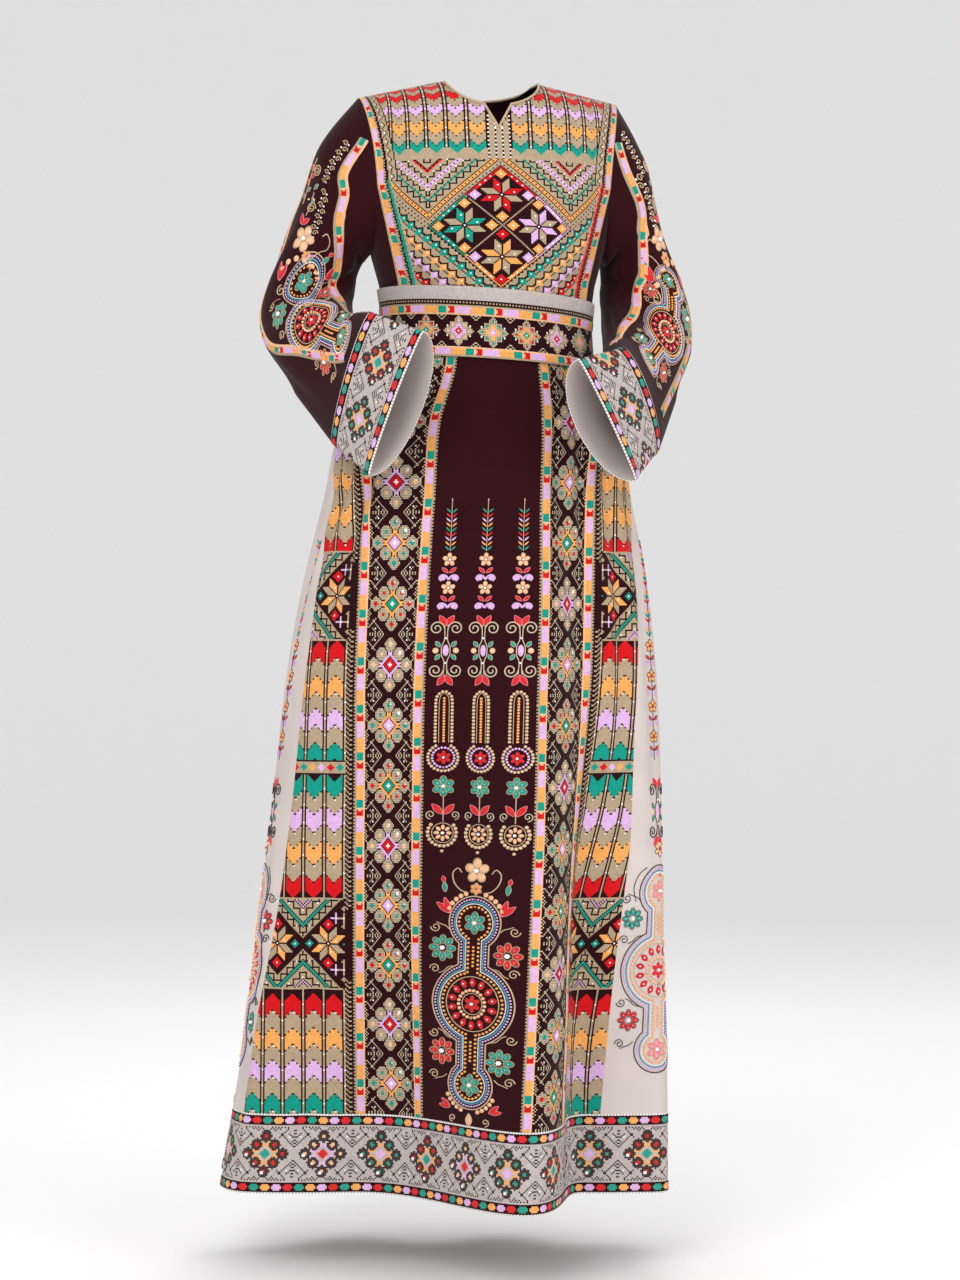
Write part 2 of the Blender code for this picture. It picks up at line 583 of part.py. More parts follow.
def side_panel(name, hand, finish):
    c = np.linspace(0.0, 1.0, SIDE_STEPS + 1)
    edge_t = np.array([k for k in PANEL_T if k >= ARMHOLE_T])
    t = (edge_t - ARMHOLE_T) / (1.0 - ARMHOLE_T)
    cc, tt = np.meshgrid(c, t)
    outer = side_point(cc, tt, hand)
    middle = stack(0.0 * cc, 0.0 * cc, outer[..., 2])

    def surface(u, v):
        return side_point(u, np.clip(v, 0.0, 1.0), hand)

    normal = outward(normals_of(surface, cc, np.clip(tt, 0.02, 0.98), 0.02, 0.015), outer - middle)
    arm_deg = SEAM_LEAVES_ARMHOLE_DEG + (360.0 - 2 * SEAM_LEAVES_ARMHOLE_DEG) * c
    body_deg = hand * (FRONT_SEAM_DEG + (180.0 - 2 * FRONT_SEAM_DEG) * c)
    normal[0] = armhole_normal(arm_deg, hand)
    normal[-1] = waist_normal(body_deg)
    normal[:, 0] = seam_normal(edge_t, hand, -1)
    normal[:, -1] = seam_normal(edge_t, hand, 1)
    normal[0] = armhole_normal(arm_deg, hand)
    outer[0] = step_back(outer[0], outer[1], 0.5 * SEAM_GAP)
    outer[-1] = step_back(outer[-1], outer[-2], 0.5 * SEAM_GAP)
    outer[:, 0] = step_back(outer[:, 0], outer[:, 1], 0.5 * SEAM_GAP)
    outer[:, -1] = step_back(outer[:, -1], outer[:, -2], 0.5 * SEAM_GAP)
    return grid_wall(name, outer, outer - CLOTH * normal, finish)


def sleeve(name, hand, finish):
    rows = sleeve_rows(hand)
    at = np.array([0.0, 0.07, 0.15, 0.24, 0.33, 0.41, 0.48, 0.54, 0.60, 0.67, 0.76, 0.87, 1.0])
    deg, aa = np.meshgrid(armhole_stations(), at)

    def surface(u, v):
        return sleeve_point(u, v, rows, hand)

    outer = surface(deg, aa)
    normal = normals_of(surface, deg, np.clip(aa, 0.02, 0.98), 1.5, 0.015)
    normal = outward(normal, outer - outer.mean(axis=1, keepdims=True))
    normal[0] = armhole_normal(deg[0], hand)
    normal[-1] = cuff_seam_normal(deg[-1], hand)
    outer[0] = step_back(outer[0], outer[1], 0.5 * SEAM_GAP, ring=True)
    outer[-1] = step_back(outer[-1], outer[-2], 0.5 * SEAM_GAP, ring=True)
    return grid_wall(name, outer, outer - CLOTH * normal, finish, ring=True)


def cuff_end(hand):
    return CUFF_END_R if hand < 0 else CUFF_END_L


def cuff_seam_normal(deg, hand):
    rows, end = sleeve_rows(hand), cuff_end(hand)
    around = cuff_point(deg + 1.0, 0.0, rows, end, hand) - cuff_point(deg - 1.0, 0.0, rows, end, hand)
    along = cuff_point(deg, 0.5, rows, end, hand) - sleeve_point(deg, 0.9, rows, hand)
    here = cuff_point(deg, 0.0, rows, end, hand)
    return outward(unit(np.cross(around, along)), here - here.mean(axis=0))


def cuff(name, hand, finish):
    rows, end = sleeve_rows(hand), cuff_end(hand)
    at, raised = with_braids([0.0, 0.5, 1.0], [(0.0, 0.15), (0.85, 1.0)], 0.012)
    deg = armhole_stations()
    dd, aa = np.meshgrid(deg, at)

    def surface(u, v):
        return cuff_point(u, v, rows, end, hand)

    outer = surface(dd, aa)
    normal = normals_of(surface, dd, np.clip(aa, 0.03, 0.97), 1.5, 0.02)
    normal = outward(normal, outer - outer.mean(axis=1, keepdims=True))
    normal[0] = cuff_seam_normal(deg, hand)
    outer[0] = step_back(outer[0], outer[1], 0.5 * SEAM_GAP, ring=True)
    proud = (BRAID_RAISE * raised)[:, None, None]
    return grid_wall(name, outer + proud * normal, outer - CLOTH * normal, finish, ring=True)


def body_section(z):
    """Half width, front and back of what lies under the belt at height z."""
    found = []
    for key in ("half_width", "front", "back"):
        found.append(np.where(z > WAIST_Z, column(TORSO, key, z), column(SKIRT, key, z)))
    return found


def belt_point(deg, share):
    """A point of the belt's outer face, share 0 at its top edge to 1 at its bottom edge."""
    deg, share = np.broadcast_arrays(np.asarray(deg, float), np.asarray(share, float))
    angle = np.radians(deg)
    level = BELT_TOP_Z - (BELT_TOP_Z - BELT_BOTTOM_Z) * share
    z = level - BELT_TILT * TORSO[-1]["half_width"] * np.sin(angle)
    half_width, front, back = body_section(z)
    spread = BELT_CLEAR + BELT_CLOTH
    depth = np.where(np.cos(angle) > 0, front, back) + spread
    return stack((half_width + spread) * np.sin(angle), -depth * np.cos(angle), z)


def belt(name, finish):
    """A stiff band round the waist, tilted a little, clear of the bodice and skirt under it."""
    share, raised = with_braids([0.0, 1.0], [(0.25, 0.38), (0.87, 1.0)], 0.012)
    deg = np.linspace(-180.0, 180.0, 37)[:-1]
    dd, ss = np.meshgrid(deg, share)
    outer = belt_point(dd, ss)
    normal = np.broadcast_to(waist_normal(deg), outer.shape)
    proud = (BRAID_RAISE * raised)[:, None, None]
    return grid_wall(name, outer + proud * normal, outer - BELT_CLOTH * normal, finish, ring=True)


def hem_band(name, first, last, steps, finish):
    """The band round the hem, between two seams at first and last degrees."""
    marks = [HEM_Z, HEM_BAND_Z - 0.5 * SEAM_GAP]
    zs, raised = with_braids(marks, [(marks[0], marks[0] + 0.012), (marks[1] - 0.013, marks[1])], BRAID_STEP)
    deg = np.linspace(first, last, steps + 1)
    inset = 0.5 * SEAM_GAP / 0.0045
    deg[0] += inset
    deg[-1] -= inset
    dd, zz = np.meshgrid(deg, zs)
    outer, normal = skirt_point(dd, zz), level_ends(skirt_normal(dd, zz))
    proud = (BRAID_RAISE * raised)[:, None, None]
    return grid_wall(name, outer + proud * normal, outer - CLOTH * normal, finish)


def neck_binding(name, finish):
    """A round binding along the neckline and down both edges of the front slit."""
    radius = 0.0014
    lift = radius + SEAM_GAP
    half = [0.0, 0.5 * SLIT_X, SLIT_X, 0.026, 0.036, 0.045, 0.052, 0.0565, 0.0592]
    points = []
    for side in (-1, 1):
        for x in [side * x for x in reversed(half)] + [-side * x for x in half[1:]]:
            z = float(neck_z(x, side))
            points.append((x, float(torso_half(x, z, side)), z + lift))
    curve = bpy.data.curves.new(name, "CURVE")
    curve.dimensions = "3D"
    curve.bevel_depth = radius
    curve.bevel_resolution = 1
    line = curve.splines.new("POLY")
    line.points.add(len(points) - 1)
    for k, point in enumerate(points):
        line.points[k].co = (*point, 1.0)
    line.use_cyclic_u = True
    curve.materials.append(finish)
    made = bpy.data.objects.new(name, curve)
    PARTS.objects.link(made)
    return made


def main():
    for old in list(bpy.data.objects):
        bpy.data.objects.remove(old)
    bpy.context.scene.collection.children.link(PARTS)
    maroon, cream, stitched = material("maroon_cloth"), material("cream_cloth"), material("embroidered_cloth")
    top = WAIST_Z - 0.5 * SEAM_GAP
    bottom = HEM_BAND_Z + 0.5 * SEAM_GAP
    rows = [top, -0.345, -0.405, -0.475, -0.565, -0.675, -0.80, -0.93, -1.06, -1.17, bottom]
    braid = ((0.0, 0.15), (0.85, 1.0))
    skirt_panel("skirt_front_center", "center_r", "center_l", 6, rows, maroon)
    skirt_panel("skirt_band_right", "band_r", "center_r", 4, rows, stitched, braid)
    skirt_panel("skirt_band_left", "center_l", "band_l", 4, rows, stitched, braid)
    skirt_panel("skirt_feather_right", "gore_r", "band_r", 7, rows, stitched)
    skirt_panel("skirt_feather_left", "band_l", "gore_l", 6, rows, stitched)
    skirt_panel("skirt_gore_right", "gore_back_r", "gore_r", 6, rows, cream)
    skirt_panel("skirt_gore_left", "gore_l", "gore_back_l", 7, rows, cream)
    skirt_panel("skirt_back", "gore_back_l", "gore_back_r", 20, rows, maroon)
    hem_band("hem_band_front", -HEM_SEAM_DEG, HEM_SEAM_DEG, 34, cream)
    hem_band("hem_band_back", HEM_SEAM_DEG, 360.0 - HEM_SEAM_DEG, 22, cream)
    belt("belt", stitched)
    yoke("bodice_front", -1, stitched)
    yoke("bodice_back", 1, maroon)
    side_panel("bodice_side_right", -1, maroon)
    side_panel("bodice_side_left", 1, maroon)
    sleeve("sleeve_right", -1, maroon)
    sleeve("sleeve_left", 1, maroon)
    cuff("cuff_right", -1, cream)
    cuff("cuff_left", 1, cream)
    neck_binding("neck_binding", cream)


PARTS = bpy.data.collections.new("embroidered_thobe_dress")
main()
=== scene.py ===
"""Looks of the worn embroidered thobe dress: cloth shells, stitched patterns, cords, beads and stones.

Metres, +Z up, front towards -Y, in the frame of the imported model. Flat patterns use u across the cloth and v
down it, in metres, and stitch charts count cells in the same directions.
"""

import math

import bpy
import numpy as np
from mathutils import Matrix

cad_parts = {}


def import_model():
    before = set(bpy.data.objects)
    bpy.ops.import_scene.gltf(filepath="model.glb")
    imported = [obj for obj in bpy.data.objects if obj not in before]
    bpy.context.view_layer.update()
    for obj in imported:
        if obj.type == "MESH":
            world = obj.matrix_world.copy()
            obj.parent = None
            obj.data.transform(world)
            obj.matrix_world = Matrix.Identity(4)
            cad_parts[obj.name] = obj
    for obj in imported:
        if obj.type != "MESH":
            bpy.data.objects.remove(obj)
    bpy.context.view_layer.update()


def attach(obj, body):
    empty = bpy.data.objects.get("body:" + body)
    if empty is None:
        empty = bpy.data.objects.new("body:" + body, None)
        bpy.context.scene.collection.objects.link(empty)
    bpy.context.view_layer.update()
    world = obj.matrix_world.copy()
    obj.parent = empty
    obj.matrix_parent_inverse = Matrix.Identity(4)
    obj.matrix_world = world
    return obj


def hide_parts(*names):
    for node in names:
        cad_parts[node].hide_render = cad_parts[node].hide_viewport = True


def table(columns, *rows):
    """Rows as dicts with the named columns."""
    return [dict(zip(columns.split(), row)) for row in rows]


# The belt's cloth and the gap at the seams, as in the solids
BELT_CLOTH = 0.0020
SEAM_GAP = 0.0003

# Heights down the dress
WAIST_Z = -0.300
RING_Z = -0.245
HEM_BAND_Z = -1.272
HEM_Z = -1.372
HEM_SEAM_DEG = 92.0

# Bodice
TIP_X = 0.1625
TIP_Z = -0.0125
NECK_X = 0.060
NECK_SIDE_Z = 0.010
NECK_FRONT_Z = -0.032
NECK_BACK_Z = -0.004
SLIT_X = 0.017
SLIT_DROP = 0.028
SHOULDER_ROUND = 0.055
FRONT_SEAM_DEG = 62.0
# The panels' upper edge stops a little short of the shoulder tip
TOP_X = TIP_X - 0.0005

# Armhole, an upright loop that leans in and bows out at its top
ARM_TOP_Z = TIP_Z
ARM_BOTTOM_Z = -0.205
ARM_HALF_DEPTH = 0.062
ARM_X = 0.147
ARM_LEAN = 0.0085
ARM_BOW = 0.007
SEAM_LEAVES_ARMHOLE_DEG = 102.0
# Share of the sleeve over which its rings turn from the armhole's into its own
ARM_BLEND = 0.16

# Belt
BELT_TOP_Z = -0.258
BELT_BOTTOM_Z = -0.343
BELT_TILT = 0.065
BELT_CLEAR = 0.0022
# Body sections: half width, depth in front of and behind the middle plane
TORSO = table(
    "z half_width front back",
    (0.020, 0.186, 0.076, 0.066),
    (-0.050, 0.182, 0.090, 0.084),
    (-0.110, 0.174, 0.107, 0.094),
    (-0.170, 0.160, 0.120, 0.096),
    (-0.205, 0.150, 0.121, 0.094),
    (-0.245, 0.135, 0.112, 0.090),
    (-0.300, 0.128, 0.101, 0.087),
)

# Skirt sections. square is 2 for an ellipse and more for a fuller outline. turn_deg turns it about Z
SKIRT = table(
    "z center_x center_y half_width front back square turn_deg",
    (-0.300, 0.000, 0.000, 0.128, 0.101, 0.087, 2.0, 0.0),
    (-0.345, 0.000, 0.000, 0.133, 0.105, 0.093, 2.0, 0.0),
    (-0.420, -0.007, 0.000, 0.175, 0.116, 0.113, 2.1, -1.0),
    (-0.510, -0.011, 0.000, 0.193, 0.122, 0.137, 2.2, -2.0),
    (-0.610, -0.013, 0.006, 0.215, 0.125, 0.150, 2.3, -3.5),
    (-0.760, -0.018, 0.016, 0.236, 0.121, 0.164, 2.5, -5.5),
    (-0.910, -0.023, 0.027, 0.246, 0.115, 0.176, 2.7, -7.0),
    (-1.060, -0.031, 0.038, 0.254, 0.108, 0.186, 2.8, -8.0),
    (-1.210, -0.038, 0.050, 0.265, 0.101, 0.194, 2.9, -9.0),
    (-1.372, -0.050, 0.062, 0.278, 0.094, 0.202, 3.0, -9.0),
)

# Hanging folds. out is at the hem, lean moves the crest towards +X at the front
FOLDS = table(
    "name at_deg width_deg out lean top_z",
    ("forward_leg", 13, 15, 0.150, 0.030, -0.420),
    ("step_valley", 31, 7, -0.030, 0.000, -0.560),
    ("right_front", -19, 12, -0.016, 0.000, -0.620),
    ("right_side_front", -52, 11, 0.010, 0.000, -0.560),
    ("left_side_front", 58, 11, 0.026, 0.010, -0.560),
    ("gore_right", -96, 10, -0.012, 0.000, -0.640),
    ("gore_left", 92, 10, -0.018, 0.000, -0.640),
    ("back_right_outer", -122, 9, 0.026, 0.006, -0.480),
    ("back_right_valley", -140, 8, -0.024, 0.000, -0.480),
    ("back_right_inner", -158, 8, 0.024, -0.006, -0.440),
    ("back_middle", -178, 9, -0.026, 0.000, -0.440),
    ("back_left_inner", 163, 8, 0.026, 0.006, -0.440),
    ("back_left_valley", 145, 8, -0.024, 0.000, -0.480),
    ("back_left_outer", 127, 9, 0.025, -0.006, -0.480),
)
# Share of a fold's growth that starts and ends softly. The rest grows evenly
FOLD_SOFT = 0.6

# Upright skirt seams, in degrees round from the front, positive towards +X
SEAMS = table(
    "z gore_back_r gore_r band_r center_r center_l band_l gore_l gore_back_l",
    (-0.300, -108, -98, -70, -24, 22, 64, 98, 108),
    (-0.420, -105, -86, -60, -21.5, 19.5, 49, 86, 106),
    (-0.560, -106, -68.2, -46.2, -18.8, 16.0, 39.5, 65.5, 106),
    (-0.760, -108, -57.0, -36.2, -15.2, 13.2, 33.5, 51.5, 104),
    (-0.960, -108, -54.0, -31.0, -12.2, 12.0, 27.0, 46.5, 101),
    (-1.160, -108, -56.0, -26.5, -8.8, 11.2, 24.0, 41.0, 98),
    (-1.372, -106, -56.0, -21.5, -5.0, 10.9, 24.6, 37.5, 95),
)

# Sleeve rings. outer is the elbow side of the arm, inner the side of its crook. near is how far the ring
# stands out from the line between them on its front, which turns sideways on the forearm, far on the other
SLEEVE_R = table(
    "at outer inner near far",
    (0.00, (-0.1625, 0.000, -0.0125), (-0.1455, 0.000, -0.205), 0.062, 0.062),
    (0.14, (-0.207, 0.010, -0.069), (-0.152, 0.008, -0.212), 0.058, 0.062),
    (0.28, (-0.230, 0.022, -0.137), (-0.158, 0.010, -0.222), 0.054, 0.062),
    (0.40, (-0.250, 0.036, -0.188), (-0.165, 0.006, -0.237), 0.050, 0.061),
    (0.50, (-0.266, 0.052, -0.243), (-0.172, -0.006, -0.256), 0.046, 0.059),
    (0.58, (-0.273, 0.058, -0.290), (-0.175, -0.030, -0.272), 0.042, 0.056),
    (0.66, (-0.267, 0.042, -0.327), (-0.176, -0.062, -0.283), 0.036, 0.053),
    (0.76, (-0.248, 0.000, -0.368), (-0.174, -0.094, -0.289), 0.027, 0.050),
    (0.88, (-0.225, -0.052, -0.410), (-0.170, -0.126, -0.291), 0.018, 0.047),
    (1.00, (-0.205, -0.104, -0.448), (-0.166, -0.156, -0.294), 0.010, 0.044),
)
SLEEVE_L = table(
    "at outer inner near far",
    (0.00, (0.1625, 0.000, -0.0125), (0.1455, 0.000, -0.205), 0.062, 0.062),
    (0.14, (0.190, 0.004, -0.066), (0.152, 0.006, -0.212), 0.058, 0.062),
    (0.28, (0.209, 0.014, -0.124), (0.154, 0.006, -0.224), 0.054, 0.062),
    (0.40, (0.229, 0.024, -0.186), (0.154, 0.000, -0.240), 0.050, 0.061),
    (0.50, (0.248, 0.034, -0.236), (0.152, -0.014, -0.262), 0.046, 0.059),
    (0.58, (0.260, 0.034, -0.288), (0.148, -0.040, -0.284), 0.042, 0.056),
    (0.66, (0.258, 0.016, -0.332), (0.143, -0.072, -0.303), 0.036, 0.053),
    (0.76, (0.238, -0.024, -0.374), (0.140, -0.106, -0.316), 0.029, 0.050),
    (0.88, (0.213, -0.078, -0.416), (0.138, -0.142, -0.325), 0.021, 0.046),
    (1.00, (0.189, -0.130, -0.456), (0.137, -0.172, -0.333), 0.015, 0.042),
)
# The open end of each cuff
CUFF_END_R = dict(outer=(-0.170, -0.183, -0.490), inner=(-0.110, -0.219, -0.322), near=0.006, far=0.042)
CUFF_END_L = dict(outer=(0.145, -0.215, -0.495), inner=(0.070, -0.242, -0.354), near=0.004, far=0.042)


def smooth(x):
    """0 to 1 with flat ends, for x from 0 to 1."""
    x = np.clip(x, 0.0, 1.0)
    return x * x * (3.0 - 2.0 * x)


def spline(xs, ys, x):
    """A smooth curve through the rows (xs, ys), evaluated at x."""
    xs, ys, x = np.asarray(xs, float), np.asarray(ys, float), np.asarray(x, float)
    if xs[0] > xs[-1]:
        xs, ys = xs[::-1], ys[::-1]
    slope = np.gradient(ys, xs)
    k = np.clip(np.searchsorted(xs, x) - 1, 0, len(xs) - 2)
    h = xs[k + 1] - xs[k]
    u = np.clip((x - xs[k]) / h, 0.0, 1.0)
    return (
        (2 * u**3 - 3 * u**2 + 1) * ys[k]
        + (u**3 - 2 * u**2 + u) * h * slope[k]
        + (3 * u**2 - 2 * u**3) * ys[k + 1]
        + (u**3 - u**2) * h * slope[k + 1]
    )


def column(rows, key, x, at="z"):
    return spline([row[at] for row in rows], [row[key] for row in rows], x)


def unit(v):
    return v / np.maximum(np.linalg.norm(v, axis=-1, keepdims=True), 1e-12)


def stack(x, y, z):
    return np.stack(np.broadcast_arrays(x, y, z), axis=-1).astype(float)


def pair(a, b):
    """Both values as arrays of one shape."""
    return np.broadcast_arrays(np.asarray(a, float), np.asarray(b, float))


def within_half_turn(deg):
    return (deg + 180.0) % 360.0 - 180.0


def skirt_point(deg, z):
    """A point of the skirt's outer face, deg round from the front at height z."""
    deg, z = pair(deg, z)
    a = column(SKIRT, "half_width", z)
    front, back = column(SKIRT, "front", z), column(SKIRT, "back", z)
    angle = np.radians(deg)
    c, s = np.cos(angle), np.sin(angle)
    depth, power = np.where(c > 0, front, back), column(SKIRT, "square", z)
    fuller = (np.abs(c) ** power + np.abs(s) ** power) ** (-1.0 / power)
    x, y = a * s * fuller, -depth * c * fuller
    nx, ny = depth * s, -a * c
    size = np.hypot(nx, ny)
    nx, ny = nx / size, ny / size
    for fold in FOLDS:
        down = (fold["top_z"] - z) / (fold["top_z"] - HEM_Z)
        grown = smooth(down) * FOLD_SOFT + (1.0 - FOLD_SOFT) * np.clip(down, 0.0, 1.0)
        away = within_half_turn(deg - fold["at_deg"])
        bell = np.exp(-((away / fold["width_deg"]) ** 2))
        x = x + grown * bell * (fold["out"] * nx - fold["lean"] * ny)
        y = y + grown * bell * (fold["out"] * ny + fold["lean"] * nx)
    turn = np.radians(column(SKIRT, "turn_deg", z))
    ct, st = np.cos(turn), np.sin(turn)
    return stack(
        column(SKIRT, "center_x", z) + x * ct - y * st,
        column(SKIRT, "center_y", z) + x * st + y * ct,
        z,
    )


def normals_of(surface, u, v, du, dv):
    """Outward unit normals of surface(u, v), by differences."""
    across = surface(u + du, v) - surface(u - du, v)
    along = surface(u, v + dv) - surface(u, v - dv)
    return unit(np.cross(across, along))


def skirt_normal(deg, z):
    step_deg, step_z = 0.3, 0.0009
    inside = np.clip(z, HEM_Z + 0.001, WAIST_Z - 0.001)
    return normals_of(skirt_point, deg, inside, step_deg, step_z)


def torso_half(x, z, side):
    """Depth of the body's front (side -1) or back (side 1) at x, z, rounding over at the shoulder line."""
    a = column(TORSO, "half_width", z)
    depth = column(TORSO, "front" if side < 0 else "back", z)
    full = np.sqrt(np.clip(1.0 - (x / a) ** 2, 0.0, 1.0))
    top = shoulder_z(x)
    down = np.clip((top - z) / SHOULDER_ROUND, 0.0, 1.0)
    return side * depth * full * np.sqrt(1.0 - (1.0 - down) ** 2)


def shoulder_z(x):
    """Height of the shoulder line over x."""
    return NECK_SIDE_Z - (NECK_SIDE_Z - TIP_Z) * (np.abs(x) - NECK_X) / (TIP_X - NECK_X)


def armhole(deg, hand):
    """The armhole: deg is 0 at the shoulder tip, 90 at the front, 180 below. hand -1 is the right one."""
    angle = np.radians(np.asarray(deg, float))
    middle, reach = (ARM_TOP_Z + ARM_BOTTOM_Z) / 2, (ARM_TOP_Z - ARM_BOTTOM_Z) / 2
    z = middle + reach * np.cos(angle)
    x = ARM_X + ARM_LEAN * np.cos(angle) + ARM_BOW * np.cos(angle) ** 2
    return stack(hand * x, -ARM_HALF_DEPTH * np.sin(angle), z)


def waist_point(deg):
    """The waist seam, the same ring for bodice and skirt."""
    angle = np.radians(deg)
    row = TORSO[-1]
    depth = np.where(np.cos(angle) > 0, row["front"], row["back"])
    return stack(row["half_width"] * np.sin(angle), -depth * np.cos(angle), WAIST_Z)


def ring_point(deg):
    """The level section just above the belt that the side panels come down to."""
    angle = np.radians(deg)
    a = column(TORSO, "half_width", RING_Z)
    depth = np.where(np.cos(angle) > 0, column(TORSO, "front", RING_Z), column(TORSO, "back", RING_Z))
    return stack(a * np.sin(angle), -depth * np.cos(angle), RING_Z)


# Shares of a panel's edge: where it leaves the armhole, and where it comes to the ring above the belt
ARMHOLE_T = 0.42
RING_T = 0.78
# How closely a panel follows the body before it bends to its edge, and the share next to the shoulder seam
EDGE_POWER = 5
SHOULDER_T = 0.05


def panel_edge(t, hand, side):
    """The outer edge of the front (side -1) or back panel: down the armhole, then straight to the waist."""
    t = np.asarray(t, float)
    on_arm = np.clip(t / ARMHOLE_T, 0.0, 1.0)
    straight = np.clip((t - ARMHOLE_T) / (RING_T - ARMHOLE_T), 0.0, 1.0)[..., None]
    low = np.clip((t - RING_T) / (1.0 - RING_T), 0.0, 1.0)[..., None]
    sign = 1.0 if side < 0 else -1.0
    leave = sign * SEAM_LEAVES_ARMHOLE_DEG
    seam = hand * FRONT_SEAM_DEG if side < 0 else hand * (180.0 - FRONT_SEAM_DEG)
    point = armhole(leave * on_arm, hand)
    point = point + straight * (ring_point(seam) - armhole(leave, hand))
    return point + low * (waist_point(seam) - ring_point(seam))


def neck_z(x, side):
    """Height of the neckline over x, with the slit at the front."""
    x = np.abs(x)
    low = NECK_FRONT_Z if side < 0 else NECK_BACK_Z
    z = low + (NECK_SIDE_Z - low) * (1.0 - np.sqrt(np.clip(1.0 - (x / NECK_X) ** 2, 0.0, 1.0)))
    if side < 0:
        z = z - SLIT_DROP * np.clip(1.0 - x / SLIT_X, 0.0, 1.0)
    return z


def top_line(x, side):
    """Height of a panel's upper edge: the neckline, then the shoulder."""
    return np.where(x < NECK_X, neck_z(x, side), shoulder_z(x))


def yoke_point(s, t, side):
    """A point of the front (side -1) or back panel. s is -1 to 1 across, t 0 to 1 from top to waist."""
    s, t = pair(s, t)
    across = np.radians(FRONT_SEAM_DEG)
    share = np.sin(across * np.abs(s)) / np.sin(across)
    right, left = panel_edge(t, -1, side), panel_edge(t, 1, side)
    edge = np.where((s < 0)[..., None], right, left)
    x = np.sign(s) * share * np.abs(edge[..., 0])
    top = top_line(share * TOP_X, side)
    drop = (ARM_TOP_Z - edge[..., 2]) / (ARM_TOP_Z - WAIST_Z)
    z = top + (WAIST_Z - top) * drop
    y = torso_half(x, z, side)
    edge_y = torso_half(edge[..., 0], edge[..., 2], side)
    y = y + (edge[..., 1] - edge_y) * np.abs(s) ** EDGE_POWER
    y = y + side * 0.5 * SEAM_GAP * np.clip(1.0 - t / SHOULDER_T, 0.0, 1.0)
    return stack(x, y, z)


def side_point(c, t, hand):
    """A point of the side panel. c is 0 to 1 from front seam to back seam, t from armhole to waist."""
    c, t = pair(c, t)
    arm_deg = SEAM_LEAVES_ARMHOLE_DEG + (360.0 - 2 * SEAM_LEAVES_ARMHOLE_DEG) * c
    body_deg = hand * (FRONT_SEAM_DEG + (180.0 - 2 * FRONT_SEAM_DEG) * c)
    split = (RING_T - ARMHOLE_T) / (1.0 - ARMHOLE_T)
    upper = np.clip(t / split, 0.0, 1.0)[..., None]
    lower = np.clip((t - split) / (1.0 - split), 0.0, 1.0)[..., None]
    top, ring, waist = armhole(arm_deg, hand), ring_point(body_deg), waist_point(body_deg)
    return top + upper * (ring - top) + lower * (waist - ring)


def table_points(rows, key, at):
    xs = [row["at"] for row in rows]
    return np.stack([spline(xs, [row[key][k] for row in rows], at) for k in range(3)], axis=-1)


def sleeve_hub(at, rows):
    """The middle of the sleeve's ring at a place down the arm."""
    return (table_points(rows, "outer", at) + table_points(rows, "inner", at)) / 2


def ring_between(deg, outer, inner, run, near, far, hand):
    """A point, deg round from outer to the front, of a ring from outer to inner that faces along run."""
    across = (outer - inner) / 2
    side = unit(np.cross(across, run)) * -hand
    angle = np.radians(deg)
    wide = np.where(np.sin(angle) > 0, near, far) * np.sin(angle)
    return (outer + inner) / 2 + across * np.cos(angle)[..., None] + side * wide[..., None]


def sleeve_point(deg, at, rows, hand):
    """A point of a sleeve, deg round from its outer side. at is 0 at the armhole to 1 at the cuff seam."""
    deg, at = pair(deg, at)
    step = 0.02
    outer, inner = table_points(rows, "outer", at), table_points(rows, "inner", at)
    run = sleeve_hub(np.minimum(at + step, 1.0), rows) - sleeve_hub(np.maximum(at - step, 0.0), rows)
    near, far = column(rows, "near", at, "at"), column(rows, "far", at, "at")
    ring = ring_between(deg, outer, inner, run, near, far, hand)
    near_arm = (1.0 - smooth(at / ARM_BLEND))[..., None]
    first = (np.array(rows[0]["outer"]) + np.array(rows[0]["inner"])) / 2
    start = armhole(deg, hand) + (outer + inner) / 2 - first
    return ring * (1.0 - near_arm) + start * near_arm


def cuff_point(deg, at, rows, end, hand):
    """A point of a cuff, from the sleeve's end (at 0) to its open end (at 1)."""
    deg, at = pair(deg, at)
    before, last = rows[-2], rows[-1]
    outer_a, inner_a = np.array(last["outer"]), np.array(last["inner"])
    outer_b, inner_b = np.array(end["outer"]), np.array(end["inner"])
    blend = at[..., None]
    outer, inner = outer_a + (outer_b - outer_a) * blend, inner_a + (inner_b - inner_a) * blend
    run_a = outer_a + inner_a - np.array(before["outer"]) - np.array(before["inner"])
    run_b = outer_b + inner_b - outer_a - inner_a
    run = unit(run_a) * (1.0 - blend) + unit(run_b) * blend
    near = last["near"] + (end["near"] - last["near"]) * at
    far = last["far"] + (end["far"] - last["far"]) * at
    return ring_between(deg, outer, inner, run, near, far, hand)


def body_section(z):
    """Half width, front and back of what lies under the belt at height z."""
    keys = ("half_width", "front", "back")
    return [np.where(z > WAIST_Z, column(TORSO, key, z), column(SKIRT, key, z)) for key in keys]


def belt_point(deg, share):
    """A point of the belt's outer face, share 0 at its top edge to 1 at its bottom edge."""
    deg, share = pair(deg, share)
    angle = np.radians(deg)
    level = BELT_TOP_Z - (BELT_TOP_Z - BELT_BOTTOM_Z) * share
    z = level - BELT_TILT * TORSO[-1]["half_width"] * np.sin(angle)
    half_width, front, back = body_section(z)
    spread = BELT_CLEAR + BELT_CLOTH
    depth = np.where(np.cos(angle) > 0, front, back) + spread
    return stack((half_width + spread) * np.sin(angle), -depth * np.cos(angle), z)


# Thin cloth of the looks, and the stitch
SHELL = 0.0010
CELL = 0.0020
PLAIN_CELL = 0.006
# Steps round a whole ring when its length is measured
RING_STEPS = 720
RIBBON_CELLS = 7
RIBBON_RAISE = 0.0008

